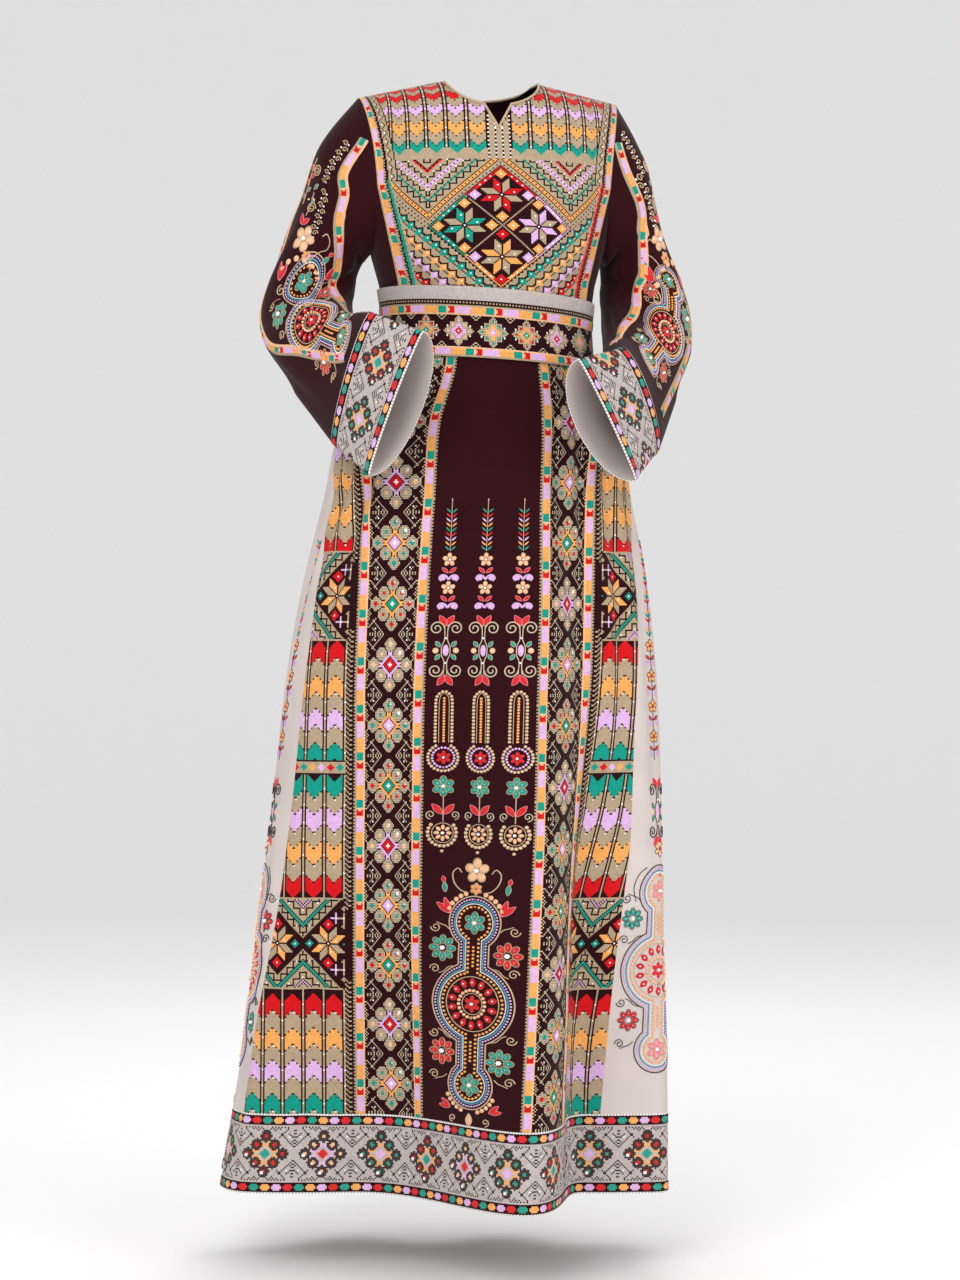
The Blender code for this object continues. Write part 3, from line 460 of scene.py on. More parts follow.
# Cloth, thread, cord and bead colours
COLORS = dict(
    maroon="2b080e",
    cream="c8bcb7",
    beige="b49f82",
    teal="0f9a86",
    red="d8141b",
    orange="f6aa5c",
    peach="f3bd92",
    lilac="e0b4e4",
    blue="4b9fba",
    brown="40302b",
    white="f6f3ef",
    pink="f08d96",
    sand="d2c2a4",
    pearl="d4b793",
    umber="35241f",
)
# Threads whose stitches lie a little apart on the cloth
SPACED = ("sand",)
THREAD = {name: k for k, name in enumerate(COLORS)}
MAROON, BEIGE, WHITE = (THREAD[name] for name in ("maroon", "beige", "white"))


def linear(code):
    """Linear red, green and blue of a colour written as six hexadecimal digits."""
    parts = [int(code[k : k + 2], 16) / 255 for k in (0, 2, 4)]
    return [p / 12.92 if p <= 0.04045 else ((p + 0.055) / 1.055) ** 2.4 for p in parts]


PALETTE = np.array([linear(code) for code in COLORS.values()])


# Soft creases of the skirt: where each starts round and down the dress, and how far it leans on its way down
SKIRT_CREASES = table(
    "at_deg lean_deg top_z bottom_z width_deg depth",
    (-44, -10, -0.345, -0.70, 3.4, 0.0060),
    (-58, -8, -0.36, -0.62, 3.0, 0.0050),
    (-71, -16, -0.40, -0.95, 4.0, 0.0070),
    (-30, -5, -0.350, -0.55, 2.4, 0.0030),
    (-12, 8, -0.42, -0.98, 4.6, 0.0045),
    (5, 16, -0.62, -1.22, 5.0, -0.0050),
    (24, 6, -0.40, -0.78, 3.2, 0.0045),
    (38, -6, -0.355, -0.72, 3.0, 0.0060),
    (52, -8, -0.36, -0.92, 3.8, 0.0070),
    (66, -10, -0.42, -1.10, 4.2, 0.0060),
    (30, -2, -0.90, -1.37, 3.0, 0.0060),
    (-42, 8, -0.84, -1.37, 4.0, 0.0060),
    (-62, 10, -0.90, -1.37, 3.4, -0.0050),
    (-84, -4, -0.44, -1.05, 4.4, 0.0070),
    (84, -4, -0.46, -1.12, 4.4, 0.0060),
    (-100, -6, -0.38, -0.90, 4.0, 0.0060),
    (102, 4, -0.38, -0.96, 4.0, 0.0060),
    (-128, -4, -0.350, -1.02, 3.6, 0.0070),
    (-148, 3, -0.350, -0.80, 3.0, 0.0060),
    (-165, -3, -0.36, -1.16, 3.8, 0.0060),
    (176, 3, -0.350, -0.90, 3.2, 0.0065),
    (158, -4, -0.36, -1.10, 3.6, 0.0060),
    (136, 3, -0.350, -0.84, 3.2, 0.0070),
    (118, -3, -0.36, -1.20, 3.8, 0.0060),
    (-114, 3, -0.80, -1.37, 3.6, 0.0060),
    (-172, -4, -0.92, -1.37, 4.0, 0.0060),
    (150, 4, -0.90, -1.37, 3.8, 0.0060),
)


def crease_run(share):
    """Strength of a crease along its length, 0 at both ends."""
    return np.where((share > 0) & (share < 1), np.sin(np.pi * np.clip(share, 0.0, 1.0)) ** 0.7, 0.0)


def creases_round(creases, deg, at, first, last):
    """How deep the creases press in, deg round at the place at. first and last name their end columns."""
    sunk = np.zeros(deg.shape)
    for crease in creases:
        share = (at - crease[first]) / (crease[last] - crease[first])
        away = within_half_turn(deg - crease["at_deg"] - crease["lean_deg"] * share)
        sunk = sunk + crease["depth"] * crease_run(share) * np.exp(-((away / crease["width_deg"]) ** 2))
    return sunk[..., None]


def skirt_cloth(deg, z):
    """A point of the skirt with its soft creases."""
    deg, z = pair(deg, z)
    sunk = creases_round(SKIRT_CREASES, deg, z, "top_z", "bottom_z")
    return skirt_point(deg, z) - sunk * skirt_normal(deg, z)


def side_of(surface, u, v, step=0.0006):
    """Outward unit normals of a cloth given as surface(u, v), v down."""
    return -normals_of(surface, u, v, step, step)


def lengths(points, axis=0):
    """Length run since the first of the points along that axis."""
    step = np.linalg.norm(np.diff(points, axis=axis), axis=-1)
    return np.concatenate([np.zeros_like(step.take([0], axis=axis)), np.cumsum(step, axis=axis)], axis=axis)


def between(grid, row, col):
    """Values of a grid at rows and columns that needn't be whole."""
    r = np.minimum(row.astype(int), grid.shape[0] - 2)
    c = np.minimum(col.astype(int), grid.shape[1] - 2)
    f, g = row - r, col - c
    upper = grid[r, c] * (1 - g) + grid[r, c + 1] * g
    lower = grid[r + 1, c] * (1 - g) + grid[r + 1, c + 1] * g
    return upper * (1 - f) + lower * f


class SkirtCloth:
    """Part of the skirt as flat cloth: u runs across from its middle line, v down from its top."""

    ROWS = 150
    STEPS = 160

    def __init__(self, first, last, top, bottom):
        self.top, self.length = top, top - bottom
        self.first, self.last = first, last
        z = np.linspace(top, bottom, self.ROWS)
        a, b = first(z), last(z)
        share = np.linspace(0.0, 1.0, self.STEPS + 1)
        points = skirt_cloth(a[:, None] + (b - a)[:, None] * share, z[:, None])
        arc = lengths(points, 1)
        self.widths = arc[:, -1]
        self.shares = np.array([np.interp(share, row / row[-1], share) for row in arc])

    def width(self, v):
        return np.interp(v, np.linspace(0.0, self.length, self.ROWS), self.widths)

    def place(self, u, v):
        u, v = pair(u, v)
        v = np.clip(v, 0.0, self.length)
        row = v / self.length * (self.ROWS - 1)
        col = np.clip(u / self.width(v) + 0.5, 0.0, 1.0) * self.STEPS
        share = between(self.shares, row, col)
        z = self.top - v
        a, b = self.first(z), self.last(z)
        return skirt_cloth(a + (b - a) * share, z)


def seam_line(key, turns=0.0):
    return lambda z: column(SEAMS, key, z) + turns


def skirt_part(left, right):
    turns = 360.0 if left == "gore_back_l" else 0.0
    return SkirtCloth(seam_line(left), seam_line(right, turns), WAIST_Z, HEM_BAND_Z)


def placed(name, data):
    """A new object of the scene."""
    made = bpy.data.objects.new(name, data)
    bpy.context.scene.collection.objects.link(made)
    return made


def filled_mesh(name, points, faces, uvs):
    mesh = bpy.data.meshes.new(name)
    mesh.from_pydata(points.tolist(), [], faces)
    mesh.uv_layers.new(name="stitches").data.foreach_set("uv", np.asarray(uvs, float).ravel())
    return mesh


def dressed(mesh, slots, materials):
    mesh.polygons.foreach_set("material_index", slots)
    for material in materials:
        mesh.materials.append(material)
    mesh.shade_smooth()


class Cloth:
    """Grids of stitches gathered into one mesh. The first material is worn outside, the second inside."""

    def __init__(self):
        self.points, self.quads, self.colors, self.uvs, self.slots = [], [], [], [], []
        self.count = 0

    def grid(self, points, colors, slot=0, closed=False, keep=None, turned=False):
        """colors is one colour number a cell. closed joins the last column to the first."""
        rows, cols = points.shape[:2]
        wrap = cols - 1 if closed else cols
        r, c = np.meshgrid(np.arange(rows - 1), np.arange(cols - 1), indexing="ij")
        corners, cells = [], []
        for down, right in ((0, 0), (1, 0), (1, 1), (0, 1)):
            corners.append(self.count + (r + down) * wrap + (c + right) % wrap)
            cells.append(np.stack([c + right, r + down], axis=-1))
        corners, cells = np.stack(corners, axis=-1), np.stack(cells, axis=2)
        if turned:
            corners, cells = corners[..., ::-1], cells[..., ::-1, :]
        keep = np.ones(r.shape, bool) if keep is None else keep
        self.points.append(points[:, :wrap].reshape(-1, 3))
        self.quads.append(corners[keep])
        self.uvs.append(cells[keep])
        self.colors.append(np.broadcast_to(colors, r.shape)[keep])
        self.slots.append(np.full(int(keep.sum()), slot))
        self.count += rows * wrap

    def build(self, name, materials, ground, seed):
        quads, uvs = np.concatenate(self.quads), np.concatenate(self.uvs)
        numbers = np.concatenate(self.colors)
        mesh = filled_mesh(name, np.concatenate(self.points), quads.tolist(), uvs)
        made = paint(mesh, numbers, np.full(len(numbers), 4), ground, seed)
        dressed(mesh, np.concatenate(self.slots), materials)
        return made


# How unevenly the threads are dyed
DYE_SPREAD = 0.05
DYE_LIMITS = (0.85, 1.15)


def paint(mesh, numbers, corners, ground, seed):
    """Gives faces uneven thread colours. Alpha is 0 on bare cloth and 0.5 on stitches set apart."""
    spread = np.random.default_rng(seed).normal(1.0, DYE_SPREAD, len(numbers))
    shades = np.clip(PALETTE[numbers] * np.clip(spread, *DYE_LIMITS)[:, None], 0.0, 1.0)
    worked = np.isin(numbers, [THREAD[k] for k in ground], invert=True).astype(float)
    worked[np.isin(numbers, [THREAD[k] for k in SPACED])] = 0.5
    face = np.concatenate([shades, worked[:, None]], axis=1)
    layer = mesh.color_attributes.new(name="thread", type="BYTE_COLOR", domain="CORNER")
    layer.data.foreach_set("color", np.repeat(face, corners, axis=0).ravel())
    return placed(mesh.name, mesh)


def spaced(count, most):
    """Indices from 0 to count - 1, at most that far apart."""
    steps = max(2, math.ceil((count - 1) / most) + 1)
    return np.unique(np.round(np.linspace(0, count - 1, steps)).astype(int))


def shell(
    name, surface, u, v, chart, looks, seed, rise=None, closed=False, ground=("maroon",), skip=8, sign=1.0
):
    """A thin cloth on surface(u, v): stitches outside, a plain inside, and both joined round the edges."""
    normal = sign * side_of(surface, u, v)
    base = surface(u, v)
    outer = base if rise is None else base + rise[..., None] * normal
    inner = base - SHELL * normal
    cloth = Cloth()
    least = 0.0001
    wide = np.linalg.norm(base[:, 1:] - base[:, :-1], axis=-1)
    tall = np.linalg.norm(base[1:, :-1] - base[:-1, :-1], axis=-1)
    keep = (np.maximum(wide[:-1], wide[1:]) > least) & (tall > least)
    turned = sign < 0
    cloth.grid(outer, chart, 0, closed, keep, turned)
    edge = THREAD[ground[0]]
    rows, cols = spaced(len(u), skip), spaced(u.shape[1], min(skip, 3))
    cloth.grid(inner[np.ix_(rows, cols)], edge, 1, closed, None, not turned)
    for r, flip in ((0, True), (-1, False)):
        ends = np.stack([outer[r], inner[r]])
        cloth.grid(ends, chart[r][None, :], 0, closed, keep[r][None, :], flip ^ turned)
    if not closed:
        for c, flip in ((0, False), (-1, True)):
            ends = np.stack([outer[:, c], inner[:, c]], axis=1)
            cloth.grid(ends, chart[:, c][:, None], 0, False, keep[:, c][:, None], flip ^ turned)
    return cloth.build(name, looks, ground, seed)


def evenly(length, cell=CELL):
    """Edges of the stitches down a cloth of that length."""
    return np.linspace(0.0, length, max(2, round(length / cell) + 1))


# Stitch charts


def blank(rows, cols, color):
    return np.full((rows, cols), THREAD[color])


def cells_of(rows, cols):
    """Row and column number of every stitch."""
    return np.meshgrid(np.arange(rows), np.arange(cols), indexing="ij")


RIBBON_BLOCKS = (("teal", 6), ("red", 5), ("lilac", 9), ("orange", 9))


def ribbon_colors(along, across, pale="peach", gap="maroon", blocks=RIBBON_BLOCKS):
    """A ribbon of barrel blocks, seven stitches wide, toothed at across 0."""
    dark = pale == "maroon"
    along, across = np.broadcast_arrays(along % sum(length for _, length in blocks), across)
    chart = np.full(along.shape, THREAD[pale])
    core = (across >= 2) & (across <= 5)
    start = 0
    for color, length in blocks:
        block = (along >= start) & (along < start + length - (dark or color in ("teal", "red")))
        chart[block & core] = THREAD[color]
        ends = (along == start) | dark & (along == start + length - 2)
        corner = (across == 2) | (across == 5) if dark else (across >= 3) & (across <= 4) & (color == "red")
        chart[block & ends & corner] = THREAD[pale]
        start += length
    chart[across == 0] = THREAD[gap]
    chart[(across == 0) & (along % 2 == 0)] = THREAD["white" if dark else "beige"]
    chart[across == 1] = THREAD["maroon" if dark else "beige"]
    return chart


# The hem's and cuffs' ribbons have even blocks set apart on dark cloth
BARREL_BLOCKS = (("teal", 7), ("orange", 7), ("lilac", 7), ("red", 7))


def barrel_colors(along, across):
    return ribbon_colors(along, across, "maroon", "cream", BARREL_BLOCKS)


WHEEL_PITCH = 37
# Sizes in stitches: how far out the discs lie, straight and slanting, and the parts of a wheel
WHEEL = dict(far=12.2, near=6.5, disc=4.1, heart=1.9, frame=6.4, prong_from=5.5, prong_to=8.4, middle=4.4)
SMALL_WHEEL = 0.7
WHEEL_KINDS = (
    dict(middle="lilac", heart="teal", frame="orange"),
    dict(middle="teal", heart="red", frame="orange"),
    dict(middle="red", heart="peach", frame="lilac"),
)


def wheels(chart, rows, cols, top, left, width, pitch, disc, stone_and_glint, first=0, grow=1.0):
    """Wheels of eight discs round a diamond, with branching stars between them. grow is their size."""
    j, i = cells_of(rows, cols)
    sx, down = i - left - (width - 1) / 2, j - top
    turn = np.floor(down / pitch).astype(int)
    sy = down - turn * pitch - (pitch - 1) / 2
    x, y = np.abs(sx), np.abs(sy)
    inside = x <= (width - 1) / 2
    size = {key: value * grow for key, value in WHEEL.items()}
    far = np.maximum(x, y)
    a, b = np.floor((width - 1) / 2 - x + 0.01), np.floor((pitch - 1) / 2 - y + 0.01)
    spark = (b == 0) & (a >= 2) & (a <= 12) & (a % 2 == 0) | (b == 1) & ((a == 9) | (a == 11))
    spark |= (a + b == 12) & (b >= 2) & (b <= 8)
    spark |= (b - a == 3) & (a >= 1) & (a <= 6) | (a + b == 7) & (b >= 1) & (b <= 3)
    spark |= (a == 0) & (b >= 4) & (b % 2 == 0) & (b <= 14) | (a == 1) & (b >= 9) & (b % 2 == 1) & (b <= 15)
    spark |= (a == 2) & (b >= 12) & (b % 4 == 0) & (b <= 16)
    if grow < SMALL_WHEEL:
        spark = (a + b <= 3) & ((a + b) % 2 == 0)
    chart[inside & spark] = THREAD[disc]
    chart[inside & (a == 6) & (b == 3)] = THREAD[stone_and_glint]
    for k, kind in enumerate(WHEEL_KINDS):
        mine = inside & ((turn + first) % len(WHEEL_KINDS) == k)
        for cx, cy in ((0.0, size["far"]), (size["far"], 0.0), (size["near"], size["near"])):
            dx, dy = np.abs(x - cx), np.abs(y - cy)
            chart[mine & (np.hypot(dx, dy) <= size["disc"])] = THREAD[disc]
            chart[mine & (dx + dy <= size["heart"])] = THREAD[kind["heart"]]
            # Painted glint: a white stitch one cell off the middle of some discs, always towards the same
            # corner, in the stone colour
            painted_glint = (np.abs(sx - cx - 1) < 0.6) & (np.abs(sy + cy + 1) < 0.6) & (grow > SMALL_WHEEL)
            chart[mine & painted_glint] = THREAD[stone_and_glint]
        prong = (far > size["prong_from"]) & (far < size["prong_to"])
        prong &= np.abs(np.minimum(x, y) - 1.4) < 0.6
        chart[mine & ((np.abs(x + y - size["frame"]) <= 0.6) | prong)] = THREAD[kind["frame"]]
        chart[mine & (x + y <= size["middle"])] = THREAD[kind["middle"]]
        chart[mine & (x + y <= grow)] = THREAD[stone_and_glint]
    return chart


def with_ribbons(chart, rows, width):
    """A ribbon down each edge of a chart, toothed outwards."""
    j = np.arange(rows)[:, None]
    across = np.arange(RIBBON_CELLS)[None, :]
    chart[:, :RIBBON_CELLS] = ribbon_colors(j, across)
    chart[:, width - RIBBON_CELLS :] = ribbon_colors(j + 9, across[:, ::-1])
    return chart


FEATHER_COLUMN = 13
FEATHER_ROW = 10.3
# Sections down the feather panels: where each starts below the waist, which way its chevrons point
FEATHER_SECTIONS = table(
    "top points colors",
    (0.030, 1, "beige teal beige lilac beige lilac beige orange beige orange beige red"),
    (0.384, -1, "red beige orange beige lilac beige teal"),
    (0.548, 1, "teal beige lilac beige orange beige red"),
    (0.820, -1, "red beige orange beige lilac beige teal beige"),
)
STAR_BANDS = table("top rows", (0.277, 55), (0.702, 57))
SQUARES_TOP = 0.534
SQUARES_ROWS = 7
FEATHER_EDGE = 5
# Width left to the stitches past a tapered panel's seam, so that none of them crosses it
SLIVER = 0.00002


def feathers(chart, j, i, area, top, points, colors, period=FEATHER_ROW, pitch=FEATHER_COLUMN):
    """Columns of chevrons between single lines. points is 1 for tips down and -1 for tips up."""
    c = i % pitch
    off = np.abs(c - pitch / 2)
    reach = pitch / 2 - 1.6
    lean = reach - off if points > 0 else off
    y = j - top - lean
    row = np.floor(y / period).astype(int)
    within = y - row * period
    live = (row >= 0) & (row < len(colors))
    chart[area] = MAROON
    chart[area & (c == 0)] = BEIGE
    barb = area & (off <= reach) & live
    for k, color in enumerate(colors):
        chart[barb & (row == k)] = THREAD[color]
    chart[barb & (within < 1.0) & (row > 0) & (np.floor(off) % 2 == 0)] = MAROON
    chart[area & live & (c == 0) & (within < 1.0)] = WHITE
    tip = (off < 1.0) & (within >= 1.0) & (within < 2.0) & (c * 2 < pitch)
    chart[barb & tip & (row % 2 == 1)] = WHITE


def star(chart, j, i, cy, cx, wide, tall, petals, heart="white"):
    """An eight-pointed star of petals so wide and long, in two colours that take turns."""
    dx, dy = i - cx, j - cy
    a, b = np.maximum(np.abs(dx), np.abs(dy)), np.minimum(np.abs(dx), np.abs(dy))
    petal = (b <= wide) & (a - b <= tall) & (a > b) & (b > 0)
    odd = (dx > 0) ^ (dy > 0) ^ (np.abs(dx) > np.abs(dy))
    chart[petal & odd] = THREAD[petals[0]]
    chart[petal & ~odd] = THREAD[petals[1]]
    chart[(a == tall) & (b == wide // 2) & odd] = WHITE
    chart[a == 0] = THREAD[heart]


def diamond(chart, j, i, cy, cx, half, color, rim=None, heart=None):
    away = np.abs(i - cx) + np.abs(j - cy)
    if rim:
        chart[(away > half) & (away <= half + 1)] = THREAD[rim]
    chart[away <= half] = THREAD[color]
    if heart:
        chart[away == 0] = THREAD[heart]


FIELD_DEPTH = 25
FIELD_PITCH = 33
STAR_FROM = 10


def stairs(ax, y, base, step=4):
    """A stepped line that climbs away from the middle of a stepped field."""
    flight = (ax + step // 2) // step
    level = base - step * flight
    return (y == level) | ((ax + step // 2) % step == 0) & (y >= level) & (y <= level + step)


def star_band(chart, j, i, top, rows):
    """Stars between stepped fields that hang from the upper edge and stand on the lower one."""
    middle = top + (rows - 1) // 2
    area = (j >= top) & (j < top + rows) & (i >= 0)
    chart[area] = MAROON
    first = STAR_FROM + FIELD_PITCH // 2
    ax = np.abs(i - first - FIELD_PITCH * np.maximum(np.round((i - first) / FIELD_PITCH), 0)).astype(int)
    y = np.minimum(j - top, top + rows - 1 - j)
    s = ax + y
    field = area & (s < FIELD_DEPTH)
    chart[field] = BEIGE
    outer, inner = stairs(ax, y, 10) & (s < 15) & (s > 7), stairs(ax, y, 21) & (s > 18)
    spine = (ax == 0) & (y > 20) & (y < 24)
    chart[field & (outer | inner | spine)] = MAROON
    chart[field & (s >= 15) & (s <= 18)] = MAROON
    chart[field & (s >= 16) & (s <= 17)] = THREAD["teal"]
    rim = field & (s >= 4) & (s <= 6)
    chart[rim] = np.where((i + j)[rim] % 2 == 0, THREAD["lilac"], MAROON)
    for stone_x, stone_y in ((0, 7), (9, 3), (4, 17)):
        chart[field & (ax == stone_x) & (y == stone_y)] = WHITE
    for cx in range(STAR_FROM, int(i.max()) + FIELD_PITCH, FIELD_PITCH):
        star(chart, j, i, middle, cx, 5, 5, ("orange", "beige"))
        for side in (-1, 1):
            diamond(chart, j, i, middle, cx + 12 * side, 2, "teal", "maroon", "white")
            diamond(chart, j, i, middle + 12 * side, cx, 3, "red", "maroon", "white")
    for side in (-1, 1):
        flake(chart, j, i, middle + 16 * side, STAR_FROM - 5, "lilac")
        flake(chart, j, i, middle + 16 * side, 0, "beige")
        for near in (11, 22):
            diamond(chart, j, i, middle + near * side, 0, 1, "beige")
    chart[area & (i > 0) & (y == 0)] = BEIGE
    return chart


def flake(chart, j, i, cy, cx, color):
    """A small stitched snowflake."""
    x, y = np.abs(i - cx), np.abs(j - cy)
    chart[(x + y <= 2) | (x + y == 3) & (np.minimum(x, y) == 0)] = THREAD[color]
    chart[(x == 1) & (y == 1)] = MAROON
    chart[x + y == 0] = WHITE


# Materials


def node(tree, kind, **values):
    made = tree.nodes.new(kind)
    for key, value in values.items():
        if key in made.inputs:
            made.inputs[key].default_value = value
        else:
            setattr(made, key, value)
    return made


def surface_material(name, roughness, sheen=0.0, specular=0.08):
    made = bpy.data.materials.new(name)
    made.use_nodes = True
    tree = made.node_tree
    shader = tree.nodes["Principled BSDF"]
    shader.inputs["Roughness"].default_value = roughness
    shader.inputs["Specular IOR Level"].default_value = specular
    shader.inputs["Sheen Weight"].default_value = sheen
    shader.inputs["Sheen Roughness"].default_value = 0.45
    return made, tree, shader


def math_node(tree, kind, a, b=None, c=None):
    made = tree.nodes.new("ShaderNodeMath")
    made.operation = kind
    for socket, value in zip(made.inputs, (a, b, c)):
        if value is None:
            continue
        if isinstance(value, (int, float)):
            socket.default_value = value
        else:
            tree.links.new(value, socket)
    return made.outputs[0]


def on_object(tree, texture):
    """A texture laid on the object's own coordinates."""
    place = node(tree, "ShaderNodeTexCoord")
    tree.links.new(place.outputs["Object"], texture.inputs["Vector"])
    return texture.outputs["Fac"]


def cloud_noise(tree, scale, detail):
    return on_object(tree, node(tree, "ShaderNodeTexNoise", Scale=scale, Detail=detail))


def spread_to(tree, factor, low, high):
    """A factor of 0 to 1 moved to low to high."""
    made = node(tree, "ShaderNodeMapRange")
    made.inputs["To Min"].default_value = low
    made.inputs["To Max"].default_value = high
    tree.links.new(factor, made.inputs["Value"])
    return made.outputs[0]


def thread_layers(tree):
    """The faces' thread colours and the stitches' places on the cloth."""
    thread = node(tree, "ShaderNodeVertexColor", layer_name="thread")
    return thread, node(tree, "ShaderNodeUVMap", uv_map="stitches")


def lit_color(tree, shader, color, factor):
    """The shader's colour is that colour times the factor."""
    scaled = node(tree, "ShaderNodeVectorMath", operation="SCALE")
    tree.links.new(color, scaled.inputs[0])
    tree.links.new(factor, scaled.inputs["Scale"])
    tree.links.new(scaled.outputs[0], shader.inputs["Base Color"])


def raised(tree, shader, height, strength, distance):
    bump = node(tree, "ShaderNodeBump", Strength=strength, Distance=distance)
    tree.links.new(height, bump.inputs["Height"])
    tree.links.new(bump.outputs[0], shader.inputs["Normal"])


# A cross stitch: how steeply its bars fall off, how much lower the under one lies, where the gap starts
BAR_SLOPE = 3.2
UNDER_BAR = 0.8
GAP_FROM = 0.37
WEAVE_TURNS = 25.13
WEAVE_HEIGHT = 0.18


def stitched_material(name, ground):
    """Cross stitches on plain weave. The colour comes from each face, its alpha says how the thread lies."""
    made, tree, shader = surface_material(name, roughness=0.78, sheen=0.06)
    link = tree.links.new

    def count(kind, *values):
        return math_node(tree, kind, *values)

    def falling(off, slope):
        return count("MAXIMUM", 0.0, count("SUBTRACT", 1.0, count("MULTIPLY", off, slope)))

    def from_middle(part):
        return count("ABSOLUTE", count("SUBTRACT", part, 0.5))

    thread, uv = thread_layers(tree)
    split = node(tree, "ShaderNodeSeparateXYZ")
    link(uv.outputs[0], split.inputs[0])
    x, y = count("FRACT", split.outputs[0]), count("FRACT", split.outputs[1])
    under = falling(count("ABSOLUTE", count("SUBTRACT", x, y)), BAR_SLOPE)
    over = falling(count("ABSOLUTE", count("SUBTRACT", count("ADD", x, y), 1.0)), BAR_SLOPE)
    bars = count("MAXIMUM", count("MULTIPLY", under, UNDER_BAR), over)
    waves = [count("SINE", count("MULTIPLY", split.outputs[k], WEAVE_TURNS)) for k in (0, 1)]
    weave = count("MULTIPLY", count("MULTIPLY", *waves), WEAVE_HEIGHT)
    lies = count("MINIMUM", 1.0, count("MULTIPLY", thread.outputs["Alpha"], 2.0))
    lift = node(tree, "ShaderNodeMix")
    link(lies, lift.inputs[0])
    link(weave, lift.inputs[2])
    link(bars, lift.inputs[3])
    rim = count("GREATER_THAN", count("MAXIMUM", from_middle(x), from_middle(y)), GAP_FROM)
    apart = falling(from_middle(thread.outputs["Alpha"]), 4.0)
    gap = count("MULTIPLY", rim, count("ADD", 0.10, count("MULTIPLY", 0.80, apart)))
    bare = node(tree, "ShaderNodeMix", data_type="RGBA")
    link(count("MULTIPLY", gap, lies), bare.inputs[0])
    link(thread.outputs["Color"], bare.inputs[6])
    bare.inputs[7].default_value = (*PALETTE[THREAD[ground]], 1.0)
    cloud = cloud_noise(tree, scale=160.0, detail=3.0)
    worn = spread_to(tree, cloud, low=0.88, high=1.12)
    # Painted shade: the stitches' relief, the cross bars on stitches and the weave on bare cloth, also scales
    # the colour, lighter where raised and darker where low
    lit = count("MULTIPLY", worn, count("ADD", count("MULTIPLY", lift.outputs[0], 0.24), 0.84))
    lit_color(tree, shader, bare.outputs[2], lit)
    link(spread_to(tree, cloud, low=0.66, high=0.90), shader.inputs["Roughness"])
    raised(tree, shader, lift.outputs[0], strength=0.55, distance=0.0006)
    return made


# Waves of the plain weave, one for each thread of that many metres
WEAVE_PITCH = 0.0009
WEAVE_SCALE = 0.314 / WEAVE_PITCH


def woven_material(name, color, sheen=0.2):
    """Plain woven cloth with soft, slightly uneven dye."""
    made, tree, shader = surface_material(name, roughness=0.84, sheen=sheen)
    mix = node(tree, "ShaderNodeMix", data_type="RGBA")
    base = PALETTE[THREAD[color]]
    mix.inputs[6].default_value = (*(base * 0.86), 1.0)
    mix.inputs[7].default_value = (*np.clip(base * 1.12, 0, 1), 1.0)
    tree.links.new(cloud_noise(tree, scale=14.0, detail=4.0), mix.inputs[0])
    tree.links.new(mix.outputs[2], shader.inputs["Base Color"])
    look = dict(Scale=WEAVE_SCALE, Distortion=0.6)
    threads = []
    for axis in ("X", "Z"):
        wave = node(tree, "ShaderNodeTexWave", bands_direction=axis, **look)
        threads.append(on_object(tree, wave))
    fluff = cloud_noise(tree, scale=420.0, detail=2.0)
    height = math_node(tree, "ADD", math_node(tree, "MULTIPLY", *threads), fluff)
    raised(tree, shader, height, strength=0.25, distance=0.0003)
    return made


# The dress's cloths


def edge_rise(rows, cols):
    """How far the ribbons at both ends of so many rows of stitches stand out."""
    rise = np.zeros((rows + 1, cols + 1))
    rise[1:RIBBON_CELLS] = RIBBON_RAISE
    rise[-RIBBON_CELLS:-1] = RIBBON_RAISE
    return rise


def band_panel(name, left, right, looks, first, seed):
    """A wheel band with a ribbon down each edge."""
    cloth = skirt_part(left, right)
    v = evenly(cloth.length)
    rows, field = len(v) - 1, WHEEL_PITCH
    cols = field + 2 * RIBBON_CELLS
    half = cloth.width(v)[:, None] / 2
    ribbon = RIBBON_CELLS * CELL
    share = np.linspace(-1.0, 1.0, field + 1)[None, :]
    inner = share * (half - ribbon)
    outer = np.arange(RIBBON_CELLS)[None, :] * CELL
    u = np.concatenate([outer - half, inner, half - outer[:, ::-1]], axis=1)
    chart = blank(rows, cols, "maroon")
    wheels(chart, rows, cols, 4, RIBBON_CELLS, field, WHEEL_PITCH, "sand", "white", first)
    with_ribbons(chart, rows, cols)
    return shell(name, cloth.place, u, v[:, None] + 0 * u, chart, looks, seed, edge_rise(cols, rows).T)


